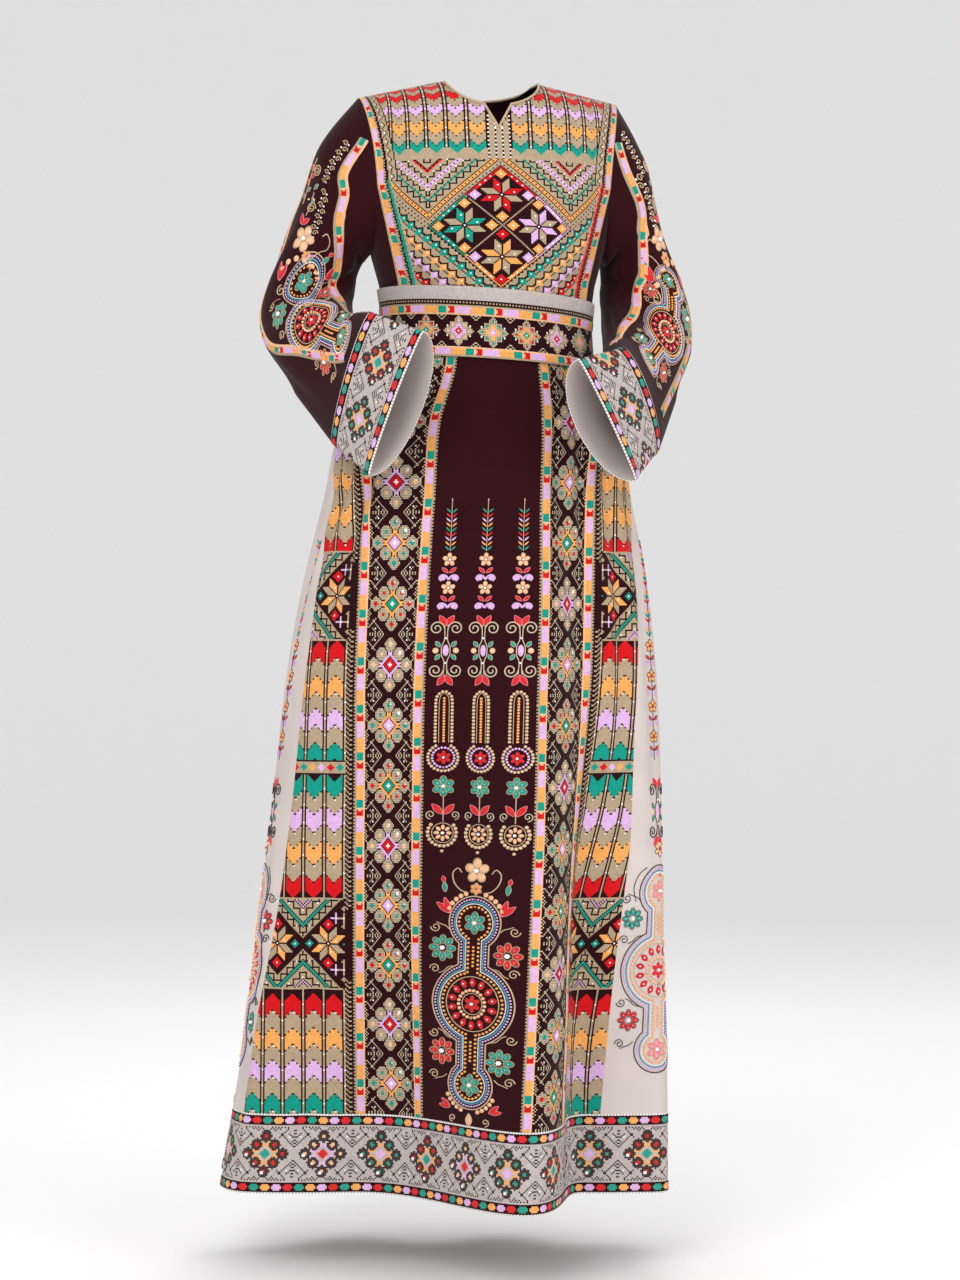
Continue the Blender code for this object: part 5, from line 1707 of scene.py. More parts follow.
class Work:
    """Cords, satin pads, beads and stones gathered into one mesh on one cloth."""

    def __init__(self):
        self.points, self.faces, self.colors, self.slots, self.uvs = [], [], [], [], []
        self.count = 0
        self.at(0.0, 0.0)

    def at(self, x, y, size=1.0, turn=0.0):
        """Where the next motifs go and how large they are. turn is in degrees."""
        self.x, self.y, self.size, self.turn = x, y, size, math.radians(turn)
        return self

    def add(self, flat, faces, color, slot, uv):
        x, y = flat[:, 0] * self.size, flat[:, 1] * self.size
        c, s = math.cos(self.turn), math.sin(self.turn)
        high = flat[:, 2] * self.size**0.5 + LIFT
        self.points.append(np.stack([self.x + x * c - y * s, self.y + x * s + y * c, high], axis=-1))
        for face in faces:
            self.faces.append([self.count + k for k in face])
            self.uvs.extend(uv[k] for k in face)
        self.colors.extend([THREAD[color]] * len(faces))
        self.slots.extend([slot] * len(faces))
        self.count += len(flat)

    def cord(self, points, width, color, closed=False, soft=True):
        line = smooth_line(points, closed) if soft else np.asarray(points, float)
        ahead = np.roll(line, -1, axis=0) - np.roll(line, 1, axis=0)
        if not closed:
            ahead[0], ahead[-1] = line[1] - line[0], line[-1] - line[-2]
        side = np.stack([ahead[:, 1], -ahead[:, 0]], axis=-1)
        side /= np.maximum(np.linalg.norm(side, axis=1, keepdims=True), 1e-9)
        n = len(line)
        lanes = [(line + side * width * off, width * high) for off, high in CORD_LANES]
        flat = lanes_at(lanes)
        faces = strip_faces(n, len(lanes), n if closed else n - 1)
        run = np.arange(n) * CORD_STEP / width
        self.add(flat, faces, color, 1, [(run[k % n], k // n * 0.25) for k in range(len(flat))])

    def pad(self, outline, color, height=1.0):
        """A satin pad inside a closed outline, raised to its middle."""
        rim = np.asarray(outline, float)
        n, middle = len(rim), rim.mean(axis=0)
        rings = ((1.0, -0.35), (0.80, 0.62 * height), (0.40, height))
        flat = lanes_at([(middle + (rim - middle) * r, h) for r, h in rings])
        flat = np.vstack([flat, [*middle, 1.08 * height]])
        faces = strip_faces(n, len(rings))
        faces += [(2 * n + r, 2 * n + (r + 1) % n, 3 * n) for r in range(n)]
        self.add(flat, faces, color, 0, [(p[0] * 1.4, p[1] * 1.4) for p in flat])

    def bead(self, x, y, radius, color):
        turn = np.arange(BEAD_SIDES) * 2 * math.pi / BEAD_SIDES
        rim = np.stack([np.cos(turn), np.sin(turn)], axis=-1)
        rings = ((0.92 * radius, -0.3), (radius, 0.6 * radius), (0.5 * radius, 1.25 * radius))
        flat = lanes_at([(rim * r + [x, y], h) for r, h in rings])
        top = tuple(range(2 * BEAD_SIDES, 3 * BEAD_SIDES))
        self.add(flat, [*strip_faces(BEAD_SIDES, len(rings)), top], color, 2, [(p[0], p[1]) for p in flat])

    def bead_line(self, points, radius, color, closed=False, gap=0.15):
        line = smooth_line(points, closed)
        if closed:
            line = np.vstack([line, line[:1]])
        run = lengths(line)
        count = max(2, round(run[-1] / (2 * radius + gap)))
        for s in np.linspace(0.0, run[-1], count + (not closed))[: count if closed else None]:
            x, y = float(np.interp(s, run, line[:, 0])), float(np.interp(s, run, line[:, 1]))
            self.bead(x, y, radius, color)

    def build(self, name, cloth, sign, looks, seed, where=None):
        """where turns a motif's own metres into the cloth's u and v, when they differ."""
        u, v, h = (np.concatenate(self.points) / 1000.0).T
        if where:
            u, v = where(u, v)
        points = cloth(u, v) + h[:, None] * sign * side_of(cloth, u, v)
        mesh = filled_mesh(name, points, self.faces, self.uvs)
        corners = np.array([len(face) for face in self.faces])
        made = paint(mesh, np.array(self.colors), corners, (), seed)
        dressed(mesh, self.slots, looks)
        return made


# Motifs

# One side of a leaf's outline: shares of its length and of its half width
LEAF_SIDE = ((0.25, 0.75), (0.55, 1.0), (0.82, 0.55))


def mirrored(path, side=1, y=0, end=1):
    """A path turned over across by side and upright by end, then moved down by y."""
    return [(side * px, y + end * py) for px, py in path]


def leaf(work, x, y, length, wide, lean, color, edge=None):
    """A pointed satin leaf from x, y outwards and up. lean is degrees from straight up towards +x."""
    a = math.radians(lean)
    along, across = np.array([math.sin(a), -math.cos(a)]), np.array([math.cos(a), math.sin(a)])
    outline = []
    for s, w in ((0, 0), *LEAF_SIDE, (1, 0), *((s, -w) for s, w in reversed(LEAF_SIDE))):
        outline.append(np.array([x, y]) + along * length * s + across * wide / 2 * w)
    work.pad(outline, color, 0.9)
    if edge:
        work.cord(outline, 0.8, edge, closed=True)


def bloom(work, x, y, radius, petals, color, heart, edge=None):
    """A flower of separate oval petals with a bead in its heart."""
    wide = 0.56 * radius * math.sin(math.pi / petals)
    tall = min(0.40 * radius, 1.5 * wide)
    t = np.linspace(0.0, 2 * math.pi, 11)[:-1, None]
    for k in range(petals):
        a = 2 * math.pi * k / petals
        out, side = np.array([math.sin(a), -math.cos(a)]), np.array([math.cos(a), math.sin(a)])
        middle = np.array([x, y]) + out * (radius - tall)
        ring = -np.cos(t) * tall * out + np.sin(t) * wide * side
        work.pad(middle + ring, color)
        if edge:
            work.cord(middle + ring * (1.0 + 0.5 / wide), 0.8, edge, closed=True, soft=False)
        if radius > 11:
            work.bead(*middle, 0.9, "white")
    work.bead(x, y, max(1.0, radius * 0.2), heart)


def spiral(work, x, y, radius, first, turns, color, width=1.4):
    """A curl that winds in from its rim at the angle first."""
    count = max(8, round(abs(turns) * 2 * math.pi * radius * 0.6 / CORD_STEP))
    t = np.linspace(0.0, 1.0, count)
    a = np.radians(first) + t * turns * 2 * math.pi
    r = radius * (1.0 - 0.82 * t)
    work.cord(np.stack([x + r * np.sin(a), y + r * np.cos(a)], axis=-1), width, color, soft=False)


def curl_pair(work, y, out, radius, color, down=1, width=1.4):
    """Two mirrored curls on a middle stem, wound outwards."""
    for side in (-1, 1):
        first = 270 * side if down > 0 else -90 * side
        spiral(work, side * out, y, radius, first, 1.6 * -side * down, color, width)


def heart(work, y, size, color, edge, down=1):
    for side in (-1, 1):
        lean = side * 34 + (180 if down < 0 else 0)
        leaf(work, 0.0, y + size * 0.5 * down, size * 1.1, size * 0.52, lean, color, edge)


def branch(work, y, levels, pitch, reach, line, colors):
    """A stem with slanted leaves in pairs."""
    top = y - pitch * 1.6
    work.cord([(0, top), (0, y + levels * pitch * 0.5), (0, y + levels * pitch)], 1.0, line)
    for k in range(levels):
        for side in (-1, 1):
            leaf(work, side * 0.5, y + (k + 0.9) * pitch, reach, 2.3, side * 48, colors[k % len(colors)])
    leaf(work, 0.0, top + 1.0, 5.0, 1.8, 0, line)


def moustache(work, y, reach, color):
    """A thick double scroll."""
    curve = ((0, 2.6), (0.30, -1.6), (0.75, -2.4), (1.0, 1.0), (0.74, 4.0))
    for side in (-1, 1):
        work.cord([(side * reach * share, y + down) for share, down in curve], 3.2, color)
        work.pad(arc_line(side * reach * 0.6, y + 0.6, 3.4, 0, 324), color)


def scroll_group(work, y, line):
    """Heart, curls, jewelled leaves and a second heart upside down. It is about 88 mm tall."""
    heart(work, y + 7, 13.5, "red", "pink")
    curl_pair(work, y + 17, 10.7, 8.6, line, width=1.8)
    curl_pair(work, y + 68, 10.7, 8.6, line, down=-1, width=1.8)
    stem = ((2.0, 13), (1.6, 30), (4.4, 38), (4.8, 44), (4.4, 50), (1.6, 58), (2.0, 73))
    for side in (-1, 1):
        work.cord(mirrored(stem, side, y), 1.3, line)
        for off, lean in ((-7.5, 35), (7.5, 145)):
            leaf(work, side * 6.6, y + 44 + off * 0.6, 8.4, 5.0, side * lean, "teal", line)
        work.pad(arc_line(side * 11.3, y + 44, 3.6, 0, 324), "peach")
        work.bead(side * 11.3, y + 44, 1.2, "white")
    work.pad(arc_line(0, y + 44, 7.2, 0, 324, 0.48), "lilac")
    leaf(work, 0.0, y + 48.5, 9.0, 3.4, 0, "red")
    for step in (29, 59):
        work.bead(0.0, y + step, 1.4, "white")
    heart(work, y + 80.6, 13.5, "red", "pink", down=-1)


def pearl_drop(work, y):
    """A tall loop of pearls over a round jewel. It is about 100 mm tall."""
    half = ((-9, 60), (-9, 34), (-8.6, 9), (-5, 2))
    loop = mirrored((*half, (0, -0.5), *mirrored(half[::-1], -1)), y=y)
    work.bead_line(loop, 2.0, "pearl")
    work.cord([(px * 0.6, py + 2) for px, py in loop], 0.9, "pearl")
    work.bead_line([(0, y + 8), (0, y + 30), (0, y + 60)], 1.7, "orange")
    middle = y + 80
    work.bead_line(arc_line(0, middle, 16.4, 150, -150), 2.0, "pearl")
    work.bead_line(arc_line(0, middle, 12.0, 0, 360)[:-1], 1.6, "lilac", closed=True)
    bloom(work, 0, middle, 8.6, 6, "red", "white")


def scalloped_round(work, y):
    """A flower in a ring of pearls, open at the top."""
    work.bead_line(arc_line(0, y, 16.0, 128, -128), 2.3, "pearl")
    work.cord(arc_line(0, y, 12.0, 0, 352), 1.1, "pearl", closed=True, soft=False)
    bloom(work, 0, y, 10.2, 8, "peach", "white")
    work.bead(0, y + 22, 2.0, "pearl")


def vine(work, x, y, line="sand"):
    """One upright row of the middle panel from its tip down to its last round."""
    work.at(x, y)
    branch(work, 12, 9, 5.7, 8.6, "pearl", ("teal", "red", "lilac", "orange"))
    for top in (73.7, 108.0):
        bloom(work, 0, top, 8.6, 5, "peach", "white")
        for side in (-1, 1):
            leaf(work, side * 0.8, top + 16, 10.0, 4.0, side * 50, "red", "pink")
        moustache(work, top + 21.5, 11.0, "lilac")
    scroll_group(work, 140, line)
    pearl_drop(work, 234)
    bloom(work, 0, 349, 12.0, 6, "teal", "white", "pearl")
    for side in (-1, 1):
        leaf(work, side * 1.0, 383, 16.5, 7.2, side * 42, "red", "pink")
        spiral(work, side * 13.4, 384, 5.6, 0, side * 1.4, line, 1.3)
    work.cord([(0, 361), (0, 374), (0, 392)], 1.2, "pearl")
    scalloped_round(work, 406)


def keyhole_line(inset, parts, neck):
    """Closed outline round circles joined by necks, inset by so many millimetres."""
    right = []
    for k, (cy, radius) in enumerate(parts):
        r, n = radius - inset, max(neck - inset, 1.0)
        gap = math.degrees(math.asin(min(n / r, 1.0)))
        first, last = (180 if k == 0 else 180 - gap), (0 if k == len(parts) - 1 else gap)
        right.append(arc_line(0, cy, r, first, last))
        if k < len(parts) - 1:
            low, high = cy + math.sqrt(r * r - n * n), parts[k + 1][0]
            high -= math.sqrt(max((parts[k + 1][1] - inset) ** 2 - n * n, 0.0))
            steps = np.linspace(low, high, max(3, round(abs(high - low) / CORD_STEP)))[1:-1]
            right.append(np.stack([np.full(len(steps), n), steps], axis=-1))
    right = np.vstack(right)
    return np.vstack([right, (right * [-1, 1])[::-1][1:-1]])


MEDALLION = ((-98.0, 32.0), (0.0, 50.0), (98.0, 29.0))
MEDALLION_NECK = 19.0
MEDALLION_LINES = table(
    "inset width color beads gap",
    (0.0, 1.7, "pearl", False, 0.0),
    (3.6, 1.2, "lilac", True, 1.2),
    (6.6, 1.8, "blue", False, 0.0),
    (9.0, 0.8, "white", True, 0.2),
    (12.6, 1.6, "orange", True, 1.8),
)
SIDE_FLOWERS = table("x y color", (-39, -65, "teal"), (41, -61, "red"), (-38, 61, "red"), (36, 67, "teal"))


def jewelled_lines(work, path_at, line="pearl"):
    """Cords and rows of beads inside each other. path_at gives the path at an inset."""
    for row in MEDALLION_LINES:
        path, color = path_at(row["inset"]), row["color"] if row["inset"] else line
        if row["beads"]:
            work.bead_line(path, row["width"], color, closed=True, gap=row["gap"])
        else:
            work.cord(path, row["width"], color, closed=True, soft=False)


def medallion(work, line="pearl", small_flower="teal", rounds=MEDALLION):
    """Three joined rounds of cords and beads with flowers in their middles."""
    jewelled_lines(work, lambda inset: keyhole_line(inset, rounds, MEDALLION_NECK), line)
    for cy, _ in rounds:
        if cy:
            work.bead_line([(0, cy * 0.47), (0, cy * 0.58), (0, cy * 0.70)], 1.6, "orange", gap=1.8)
            bloom(work, 0, cy, 13.0, 6, small_flower, "white", "pearl")
    work.cord(arc_line(0, 0, 33.0, 0, 354), 1.2, "pearl", closed=True, soft=False)
    for k in range(14):
        a = math.radians(360 / 14 * k)
        leaf(work, 20.4 * math.sin(a), -20.4 * math.cos(a), 11.0, 7.0, math.degrees(a), "red", "red")
        work.bead(26.2 * math.sin(a), -26.2 * math.cos(a), 1.3, "white")
    work.bead_line(arc_line(0, 0, 16.6, 0, 360)[:-1], 2.1, "peach", closed=True, gap=0.5)
    work.cord(arc_line(0, 0, 12.8, 0, 350), 1.0, "pearl", closed=True, soft=False)
    bloom(work, 0, 0, 10.6, 6, "red", "white")


def side_flowers(work, line="pearl", size=15.5):
    """The flowers and curls that fill the corners beside the three rounds."""
    for row in SIDE_FLOWERS:
        side, end = np.sign(row["x"]), np.sign(row["y"])
        bloom(work, row["x"], row["y"], size, 8, row["color"], "white", line)
        for y, down in ((39, 1), (90, -1)):
            spiral(work, side * 48, end * y, 6.0, 90 * side, -1.4 * side * end * down, line, 1.4)
        for path in (((26, 44), (32, 42), (37, 37), (43, 34)), ((31, 88), (36, 92), (42, 94), (47, 96))):
            work.cord(mirrored(path, side, end=end), 1.2, line)


def medallion_setting(work, line="pearl"):
    """Flowers, curls, leaves and drops above and below the medallion."""
    bloom(work, 0, -161, 15.0, 5, "peach", "white", "pearl")
    bloom(work, 0, -139, 6.8, 6, "orange", "red", "pearl")
    scroll = ((10, -134), (20, -137), (28, -146), (30, -157), (24, -163), (19, -158))
    for side in (-1, 1):
        for k in range(5):
            a = math.radians(side * (20 + 11 * k))
            work.pad(arc_line(36.6 * math.sin(a), -98 - 36.6 * math.cos(a), 3.1, 0, 324), "peach")
            work.pad(arc_line(33.0 * math.sin(a), 98 + 33.0 * math.cos(a), 2.8, 0, 324), "peach")
        work.cord(mirrored(scroll, side), 1.5, line)
        leaf(work, side * 38, -133, 13.0, 6.0, side * 8, "teal", line)
        leaf(work, side * 40, -145, 8.0, 5.0, side * 12, "red", "pink")
        for lean in (20, 52):
            leaf(work, side * 32, -108, 20.0, 7.0, side * lean, "red", "pink")
            leaf(work, side * 26, 128, 15.0, 5.4, side * (lean + 30), "red", "pink")
        spiral(work, side * 22, 140, 5.0, 0, 1.3 * side, line, 1.3)
    leaf(work, 0, 148, 16.0, 8.4, 0, "peach", "pearl")


def side_vine(work, x_at, top):
    """The cream side panels' upright row, outlined darkly. x_at gives its place across at a height."""
    line = "brown"
    colors = ("teal", "red", "lilac", "orange")
    for k in range(21):
        y = top + 5.7 * k
        work.at(x_at(y), y)
        for side in (-1, 1):
            leaf(work, side * 0.5, 4, 8.6, 2.4, side * 45, colors[k % 4])
        work.cord([(0, -1), (0, 2), (0, 5)], 1.0, line)
    for k in range(4):
        y = top + 130 + 37.5 * k
        work.at(x_at(y), y)
        bloom(work, 0, 0, 7.6, 5, "orange", "red", line)
        for side in (-1, 1):
            leaf(work, side * 1.0, 17, 10.0, 3.6, side * 58, "red", line)
            spiral(work, side * 6.2, 21, 4.4, 180, -1.2 * side, "lilac", 1.8)
        work.cord([(0, 7), (0, 16), (0, 29)], 0.9, line)
    y = top + 292
    work.at(x_at(y + 40), y)
    scroll_group(work, 0, line)
    work.bead(0, 84, 2.2, "peach")
    work.at(x_at(y + 240), y + 240)
    medallion(work, line, "pink")
    side_flowers(work, line, 13.0)
    for side in (-1, 1):
        work.cord([(side * 24, -128), (side * 34, -120), (side * 40, -104), (side * 36, -86)], 1.2, line)
    bloom(work, 0, -150, 9.0, 6, "peach", "red", line)


def slopes(surface, u, v, step):
    """How far the surface's points move with u and with v."""
    du = (surface(u + step, v) - surface(u - step, v)) / (2 * step)
    dv = (surface(u, v + step) - surface(u, v - step)) / (2 * step)
    return du, dv


def sleeve_patch(surface, deg, at, long):
    """A sleeve's u and v about deg, at, for x metres round the arm and y down it, y drawn out by long."""
    u0, v0 = deg / TO_DEG, at * SLEEVE_SPAN
    du, dv = slopes(surface, u0, v0, 0.004)
    down = unit(dv)
    across = unit(du - np.dot(du, down) * down)
    back = np.linalg.pinv(np.stack([du, dv], axis=-1)) @ np.stack([across, down * long], axis=-1)
    return lambda x, y: (u0 + back[0, 0] * x + back[0, 1] * y, v0 + back[1, 0] * x + back[1, 1] * y)


# Sleeve handwork: what, where round and down the arm, how big, which way up
SLEEVE_WORK_R = table(
    "kind deg at size turn long",
    ("chain", 60, 0.12, 1.0, -12, 1.0),
    ("chain", 74, 0.26, 1.0, -4, 1.0),
    ("curls", 50, 0.22, 1.0, -6, 1.0),
    ("spray", 32, 0.22, 1.0, 0, 1.0),
    ("hearts", 52, 0.31, 1.0, 0, 1.0),
    ("flower", 68, 0.36, 1.0, 0, 1.1),
    ("arch", 86, 0.415, 0.9, -4, 1.0),
    ("petals", 62, 0.48, 1.0, -20, 1.2),
    ("petals", 130, 0.44, 0.9, 30, 1.2),
    ("hook", 100, 0.355, 1.0, 0, 1.0),
    ("round", 103, 0.505, 0.72, 0, 1.6),
    ("big_round", 112, 0.705, 0.80, -6, 1.05),
)
SLEEVE_WORK_L = table(
    "kind deg at size turn long",
    ("chain", 54, 0.09, 1.0, -12, 1.0),
    ("chain", 68, 0.22, 1.0, 4, 1.0),
    ("curls", 44, 0.22, 1.0, 0, 1.0),
    ("spray", 26, 0.22, 1.0, 0, 1.0),
    ("hearts", 52, 0.31, 1.0, 0, 1.0),
    ("flower", 64, 0.36, 1.0, 0, 1.1),
    ("arch", 66, 0.43, 1.0, 0, 1.1),
    ("petals", 106, 0.45, 1.0, 20, 1.2),
    ("petals", 40, 0.50, 1.0, -30, 1.2),
    ("hook", 92, 0.38, 1.0, 0, 1.0),
    ("medallion", 94, 0.67, 0.80, -14, 1.1),
)


def sleeve_motif(kind, work):
    sides = (-1, 1)
    if kind == "chain":
        for k in range(9):
            side = 1 if k % 2 else -1
            spiral(work, side * 2.4, k * 7.0 - 28, 4.0, 90 * side, 1.2 * side, "pearl", 1.2)
            work.bead(-side * 3.0, k * 7.0 - 28, 1.2, "white")
    elif kind == "curls":
        for k, side in enumerate(sides):
            spiral(work, side * 3.0, k * 46 - 23, 7.6, 90 * side, 1.9 * side, "pearl", 1.5)
        for side in sides:
            leaf(work, 0, 4 + 5 * side, 10.0, 5.0, 90 + side * 50, "teal", "pearl")
            work.bead(5 * side, 12, 1.5, "peach")
    elif kind == "flower":
        bloom(work, 0, 0, 14.5, 5, "peach", "white", "pearl")
    elif kind == "arch":
        bloom(work, 0, -4, 7.0, 6, "orange", "red", "pearl")
        for k in range(7):
            a = math.radians(26 * (k - 3))
            work.pad(arc_line(29 * math.sin(a), 32 - 29 * math.cos(a), 4.2, 0, 324), "peach")
    elif kind == "hearts":
        heart(work, 0, 13.0, "red", "pink")
        work.cord([(0, -34), (1, -20), (0, -6)], 1.2, "pearl")
    elif kind == "petals":
        for lean in (-18, 18):
            leaf(work, 0, 8, 19.0, 7.0, lean, "red", "pink")
        spiral(work, 6, 18, 6.0, 180, 1.4, "pearl", 1.4)
    elif kind == "hook":
        work.cord([(0, 22), (-6, 14), (-2, 4), (4, -4), (2, -14), (-5, -18), (-9, -13)], 1.4, "pearl")
        leaf(work, 9, 14, 12.0, 5.6, 10, "teal", "pearl")
        leaf(work, 11, 2, 8.0, 5.0, 14, "red", "pink")
    elif kind == "medallion":
        medallion(work)
        side_flowers(work)
    elif kind == "big_round":
        medallion(work, rounds=MEDALLION[1:])
        side_flowers(work)
    elif kind == "round":
        jewelled_lines(work, lambda inset: arc_line(0, 0, 31.0 - inset, 0, 360)[:-1])
        bloom(work, 0, 0, 13.0, 5, "teal", "white", "pearl")
    elif kind == "spray":
        for k in range(5):
            side = 1 if k % 2 else -1
            leaf(work, side * 1.0, k * 9.0 - 14, 11.0, 5.0, side * 50, "teal" if k > 2 else "red", "pink")
        work.cord([(0, -30), (0, -4), (1, 30)], 1.2, "pearl")


# Ribbons down the sleeves: (degrees round the arm, place down it)
SLEEVE_RIBBONS_R = (
    (
        (62, 0.03), (75, 0.10), (94, 0.12), (106, 0.20), (124, 0.32),
        (144, 0.47), (165, 0.60), (180, 0.80), (184, 0.99),
    ),
    ((-14, 0.05), (4, 0.30), (24, 0.54), (38, 0.67), (77, 0.77), (106, 0.97)),
)
SLEEVE_RIBBONS_L = (
    (
        (62, 0.02), (80, 0.09), (92, 0.21), (100, 0.32), (112, 0.42),
        (130, 0.50), (144, 0.61), (170, 0.74), (188, 0.86),
    ),
    ((-14, 0.05), (0, 0.28), (22, 0.48), (46, 0.64), (50, 0.78), (60, 0.96)),
)
# A sleeve ribbon's stitches across, how far it lies above the cloth, and how far its edges sink
RIBBON_ACROSS = (1, 1, 2, 3, 4, 5, 6, 6)
RIBBON_STEP = 0.0017
RIBBON_LIES = 0.0011
RIBBON_SINKS = 0.0012
RIBBON_FLAT = 0.006


def sleeve_ribbon(name, surface, sign, places, looks, seed):
    """A ribbon of blocks along the arm."""
    stretch = np.array([1.0, 300.0])
    deg, at = (smooth_line(np.array(places) * stretch) / stretch).T
    run = lengths(surface(deg / TO_DEG, at * SLEEVE_SPAN))
    even = np.arange(0.0, run[-1], CELL)
    u, v = np.interp(even, run, deg) / TO_DEG, np.interp(even, run, at) * SLEEVE_SPAN
    ahead = unit(np.gradient(surface(u, v), axis=0))
    normal = sign * side_of(surface, u, v)
    side = unit(np.cross(normal, ahead))
    back = np.linalg.pinv(np.stack(slopes(surface, u, v, 0.003), axis=-1))
    move = np.einsum("nij,nj->ni", back, side)
    cols = len(RIBBON_ACROSS)
    off = (np.arange(cols + 1) - cols // 2) * RIBBON_STEP
    uu, vv = u[:, None] + off * move[:, :1], v[:, None] + off * move[:, 1:]
    rise = RIBBON_LIES - RIBBON_SINKS * (np.abs(off) > RIBBON_FLAT)
    base = surface(uu, vv) + rise[None, :, None] * normal[:, None, :]
    j, i = cells_of(len(even) - 1, cols)
    cloth = Cloth()
    cloth.grid(base, ribbon_colors(j, np.array(RIBBON_ACROSS)[i], gap="beige"), 0)
    return cloth.build(name, looks, ("maroon",), seed)


def thread_material(name, roughness, sheen, coarse, strength):
    """Satin stitch or couched cord: fine threads laid side by side, with painted shade along their ridges."""
    made, tree, shader = surface_material(name, roughness, sheen, specular=0.3)
    thread, uv = thread_layers(tree)
    look = dict(Scale=coarse, Distortion=0.8)
    lay = node(tree, "ShaderNodeTexWave", bands_direction="DIAGONAL", **look)
    tree.links.new(uv.outputs[0], lay.inputs["Vector"])
    # Painted shade: the laid threads' ridges, the same waves as the bump, are painted lighter and their
    # grooves darker
    lit = math_node(tree, "ADD", math_node(tree, "MULTIPLY", lay.outputs["Fac"], 0.22), 0.74)
    cloud = cloud_noise(tree, scale=300.0, detail=2.0)
    lit = math_node(tree, "ADD", lit, math_node(tree, "MULTIPLY", cloud, 0.16))
    lit_color(tree, shader, thread.outputs["Color"], lit)
    raised(tree, shader, lay.outputs["Fac"], strength, distance=0.0004)
    return made


def bead_material(name, roughness):
    """Small glass beads and stones with a coloured body."""
    made, tree, shader = surface_material(name, roughness, sheen=0.0, specular=0.6)
    thread, _ = thread_layers(tree)
    cloud = cloud_noise(tree, scale=500.0, detail=1.0)
    lit = math_node(tree, "ADD", math_node(tree, "MULTIPLY", cloud, 0.24), 0.86)
    lit_color(tree, shader, thread.outputs["Color"], lit)
    tree.links.new(spread_to(tree, cloud, roughness, roughness + 0.15), shader.inputs["Roughness"])
    return made


# How far the folded middle panel's handwork spreads across the cloth at each distance down it
CENTER_SPREAD = ((0.25, 0.51, 0.62, 0.825, 0.95), (1.0, 1.17, 1.22, 1.36, 1.36))


def center_work(looks):
    """The middle panel's three rows and its big medallion."""
    cloth = skirt_part("center_r", "center_l")
    work = Work()
    for x in (-43.0, 1.0, 45.0):
        vine(work, x, 214.0)
    work.at(1.0, 825.0)
    medallion(work)
    side_flowers(work)
    medallion_setting(work)
    def where(x, y):
        return x * np.interp(y, *CENTER_SPREAD), y

    return work.build("center_handwork", cloth.place, 1.0, looks, seed=21, where=where)


def gore_work(name, left, right, edge, looks, seed):
    """A side panel's row. edge is 1 where the panel's front seam is at its +u edge."""
    cloth = skirt_part(left, right)
    work = Work()

    def x_at(y):
        in_from_seam = np.interp(y, (250, 450, 650, 820, 950), (22, 36, 48, 60, 66))
        return float(edge * (cloth.width(y / 1000.0) * 500.0 - in_from_seam))

    side_vine(work, x_at, 262.0)
    return work.build(name, cloth.place, 1.0, looks, seed)


def sleeve_sign(surface):
    """1 where side_of points out of the sleeve, else -1."""
    u, v = np.meshgrid(np.linspace(-HALF_ROUND, HALF_ROUND, 9), np.linspace(0.1, 0.4, 4))
    return facing(surface, u, v)


def sleeve_handwork(name, hand, looks, seed):
    """All raised motifs of one sleeve in one mesh."""
    surface = sleeve_cloth(hand)
    sign = sleeve_sign(surface)
    made = []
    for k, row in enumerate(SLEEVE_WORK_R if hand < 0 else SLEEVE_WORK_L):
        work = Work().at(0.0, 0.0, row["size"], row["turn"])
        sleeve_motif(row["kind"], work)
        where = sleeve_patch(surface, row["deg"], row["at"], row["long"])
        made.append(work.build(f"{name}_{k}", surface, sign, looks, seed + k, where))
    return joined(name, made)


def joined(name, pieces):
    """Several meshes as one piece."""
    bpy.ops.object.select_all(action="DESELECT")
    for piece in pieces:
        piece.select_set(True)
    bpy.context.view_layer.objects.active = pieces[0]
    bpy.ops.object.join()
    pieces[0].name = pieces[0].data.name = name
    return pieces[0]


# Every sheet: its solid, its record slot, its flat width and length, and its area where it tapers
SHEETS = table(
    "name solid slot flat area",
    ("band_right_cloth", "skirt_band_right", "skirt_embroidery", (0.103, 0.972), 0.087),
    ("band_left_cloth", "skirt_band_left", "skirt_embroidery", (0.114, 0.972), 0.090),
    ("feather_right_cloth", "skirt_feather_right", "skirt_embroidery", (0.140, 0.972), 0.082),
    ("feather_left_cloth", "skirt_feather_left", "skirt_embroidery", (0.106, 0.972), 0.080),
    ("center_cloth", "skirt_front_center", "maroon_cloth", (0.168, 0.972), 0.140),
    ("gore_right_cloth", "skirt_gore_right", "cream_cloth", (0.140, 0.972), 0.118),
    ("gore_left_cloth", "skirt_gore_left", "cream_cloth", (0.180, 0.972), 0.130),
    ("back_cloth", "skirt_back", "maroon_cloth", (0.80, 0.972), 0.58),
    ("hem_front_cloth", "hem_band_front", "cream_cloth", (0.97, 0.100), None),
    ("hem_back_cloth", "hem_band_back", "cream_cloth", (0.82, 0.100), None),
    ("belt_cloth", "belt", "belt_embroidery", (0.73, 0.085), None),
    ("bodice_front_cloth", "bodice_front", "bodice_embroidery", (0.33, 0.35), 0.08),
    ("bodice_back_cloth", "bodice_back", "maroon_cloth", (0.33, 0.36), 0.09),
    ("bodice_side_right_cloth", "bodice_side_right", "maroon_cloth", (0.12, 0.10), 0.011),
    ("bodice_side_left_cloth", "bodice_side_left", "maroon_cloth", (0.12, 0.10), 0.011),
    ("sleeve_right_cloth", "sleeve_right", "maroon_cloth", (0.40, 0.40), 0.15),
    ("sleeve_left_cloth", "sleeve_left", "maroon_cloth", (0.40, 0.40), 0.15),
    ("cuff_right_cloth", "cuff_right", "cream_cloth", (0.45, 0.13), 0.055),
    ("cuff_left_cloth", "cuff_left", "cream_cloth", (0.45, 0.13), 0.055),
)


def mount(made, solid=None):
    """Puts a piece on the dress, in place of its solid."""
    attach(made, "root")
    if solid:
        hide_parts(solid)


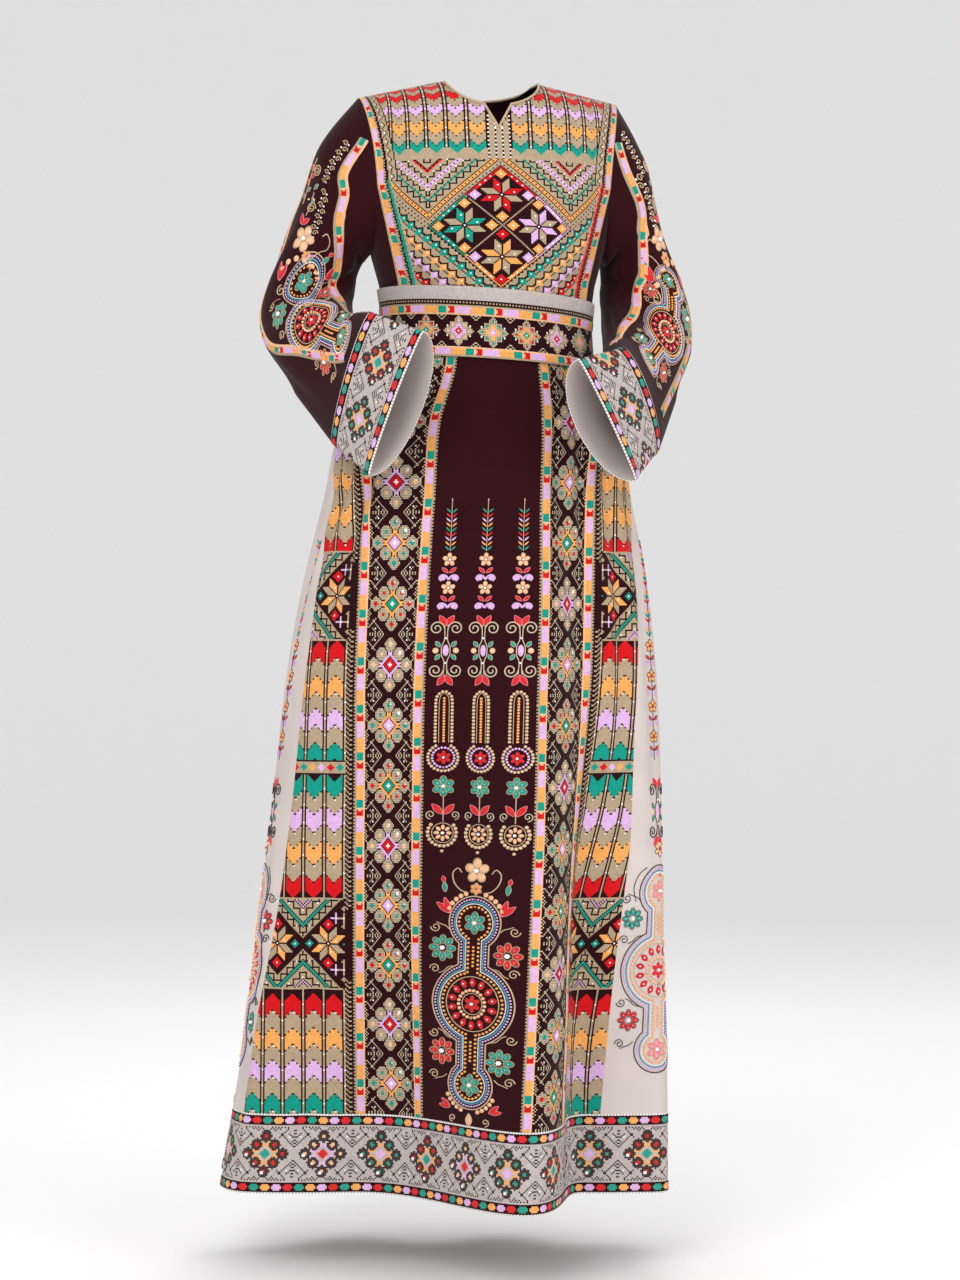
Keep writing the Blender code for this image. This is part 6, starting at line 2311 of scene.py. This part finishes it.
def mount_sheet(made):
    for row in SHEETS:
        if row["name"] == made.name:
            mount(made, row["solid"])


def mount_cloths():
    """All cloth of the dress. Each kind of cloth is a pair: its worn side and its inside."""
    lining = woven_material("maroon_cloth_inside", "maroon")
    cream_lining = woven_material("cream_cloth_inside", "cream")
    stitched = stitched_material("stitched_maroon_cloth", "maroon")
    worked = (stitched, lining)
    worked_cream = (stitched_material("stitched_cream_cloth", "cream"), cream_lining)
    plain = (woven_material("maroon_cloth", "maroon", 0.08), lining)
    plain_cream = (woven_material("cream_cloth", "cream", 0.08), cream_lining)

    mount_sheet(band_panel("band_right_cloth", "band_r", "center_r", worked, first=0, seed=1))
    mount_sheet(band_panel("band_left_cloth", "center_l", "band_l", worked, first=1, seed=2))
    mount_sheet(feather_panel("feather_right_cloth", "gore_r", "band_r", 1, worked, seed=3))
    mount_sheet(feather_panel("feather_left_cloth", "band_l", "gore_l", -1, worked, seed=4))
    mount_sheet(plain_panel("center_cloth", "center_r", "center_l", "maroon", plain, seed=5))
    mount_sheet(plain_panel("gore_right_cloth", "gore_back_r", "gore_r", "cream", plain_cream, seed=6))
    mount_sheet(plain_panel("gore_left_cloth", "gore_l", "gore_back_l", "cream", plain_cream, seed=7))
    mount_sheet(plain_panel("back_cloth", "gore_back_l", "gore_back_r", "maroon", plain, seed=8))
    mount_sheet(hem_part("hem_front_cloth", -HEM_SEAM_DEG, HEM_SEAM_DEG, worked_cream, seed=9))
    mount_sheet(hem_part("hem_back_cloth", HEM_SEAM_DEG, 360.0 - HEM_SEAM_DEG, worked_cream, seed=10))
    mount_sheet(belt_shell(worked, seed=11))
    mount_sheet(bodice_shell("bodice_front_cloth", -1, worked, seed=12))
    mount_sheet(bodice_shell("bodice_back_cloth", 1, plain, seed=13))
    for hand, side in ((-1, "right"), (1, "left")):
        mount_sheet(side_shell(f"bodice_side_{side}_cloth", hand, plain, seed=14))
        mount_sheet(sleeve_shell(f"sleeve_{side}_cloth", hand, plain, seed=15))
        mount_sheet(cuff_shell(f"cuff_{side}_cloth", hand, worked_cream, seed=16))
    mount(neck_edge(woven_material("binding_cloth", "beige")), "neck_binding")
    return stitched


def mount_handwork(stitched):
    """The raised work on the middle panel, the cream panels and the sleeves, and the sleeves' ribbons."""
    looks = (
        thread_material("satin_thread", roughness=0.5, sheen=0.15, coarse=5.0, strength=0.35),
        thread_material("couched_cord", roughness=0.6, sheen=0.1, coarse=3.0, strength=0.5),
        bead_material("glass_bead", roughness=0.22),
    )
    mount(center_work(looks))
    mount(gore_work("gore_right_handwork", "gore_back_r", "gore_r", 1, looks, seed=40))
    mount(gore_work("gore_left_handwork", "gore_l", "gore_back_l", -1, looks, seed=41))
    for hand, side in ((-1, "right"), (1, "left")):
        mount(sleeve_handwork(f"sleeve_{side}_handwork", hand, looks, seed=50 + hand * 20))
        surface = sleeve_cloth(hand)
        sign = sleeve_sign(surface)
        for k, places in enumerate(SLEEVE_RIBBONS_R if hand < 0 else SLEEVE_RIBBONS_L):
            name = f"sleeve_{side}_ribbon_{k}"
            mount(sleeve_ribbon(name, surface, sign, places, (stitched,), seed=60 + k))


def main():
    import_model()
    stage()
    mount_handwork(mount_cloths())


main()
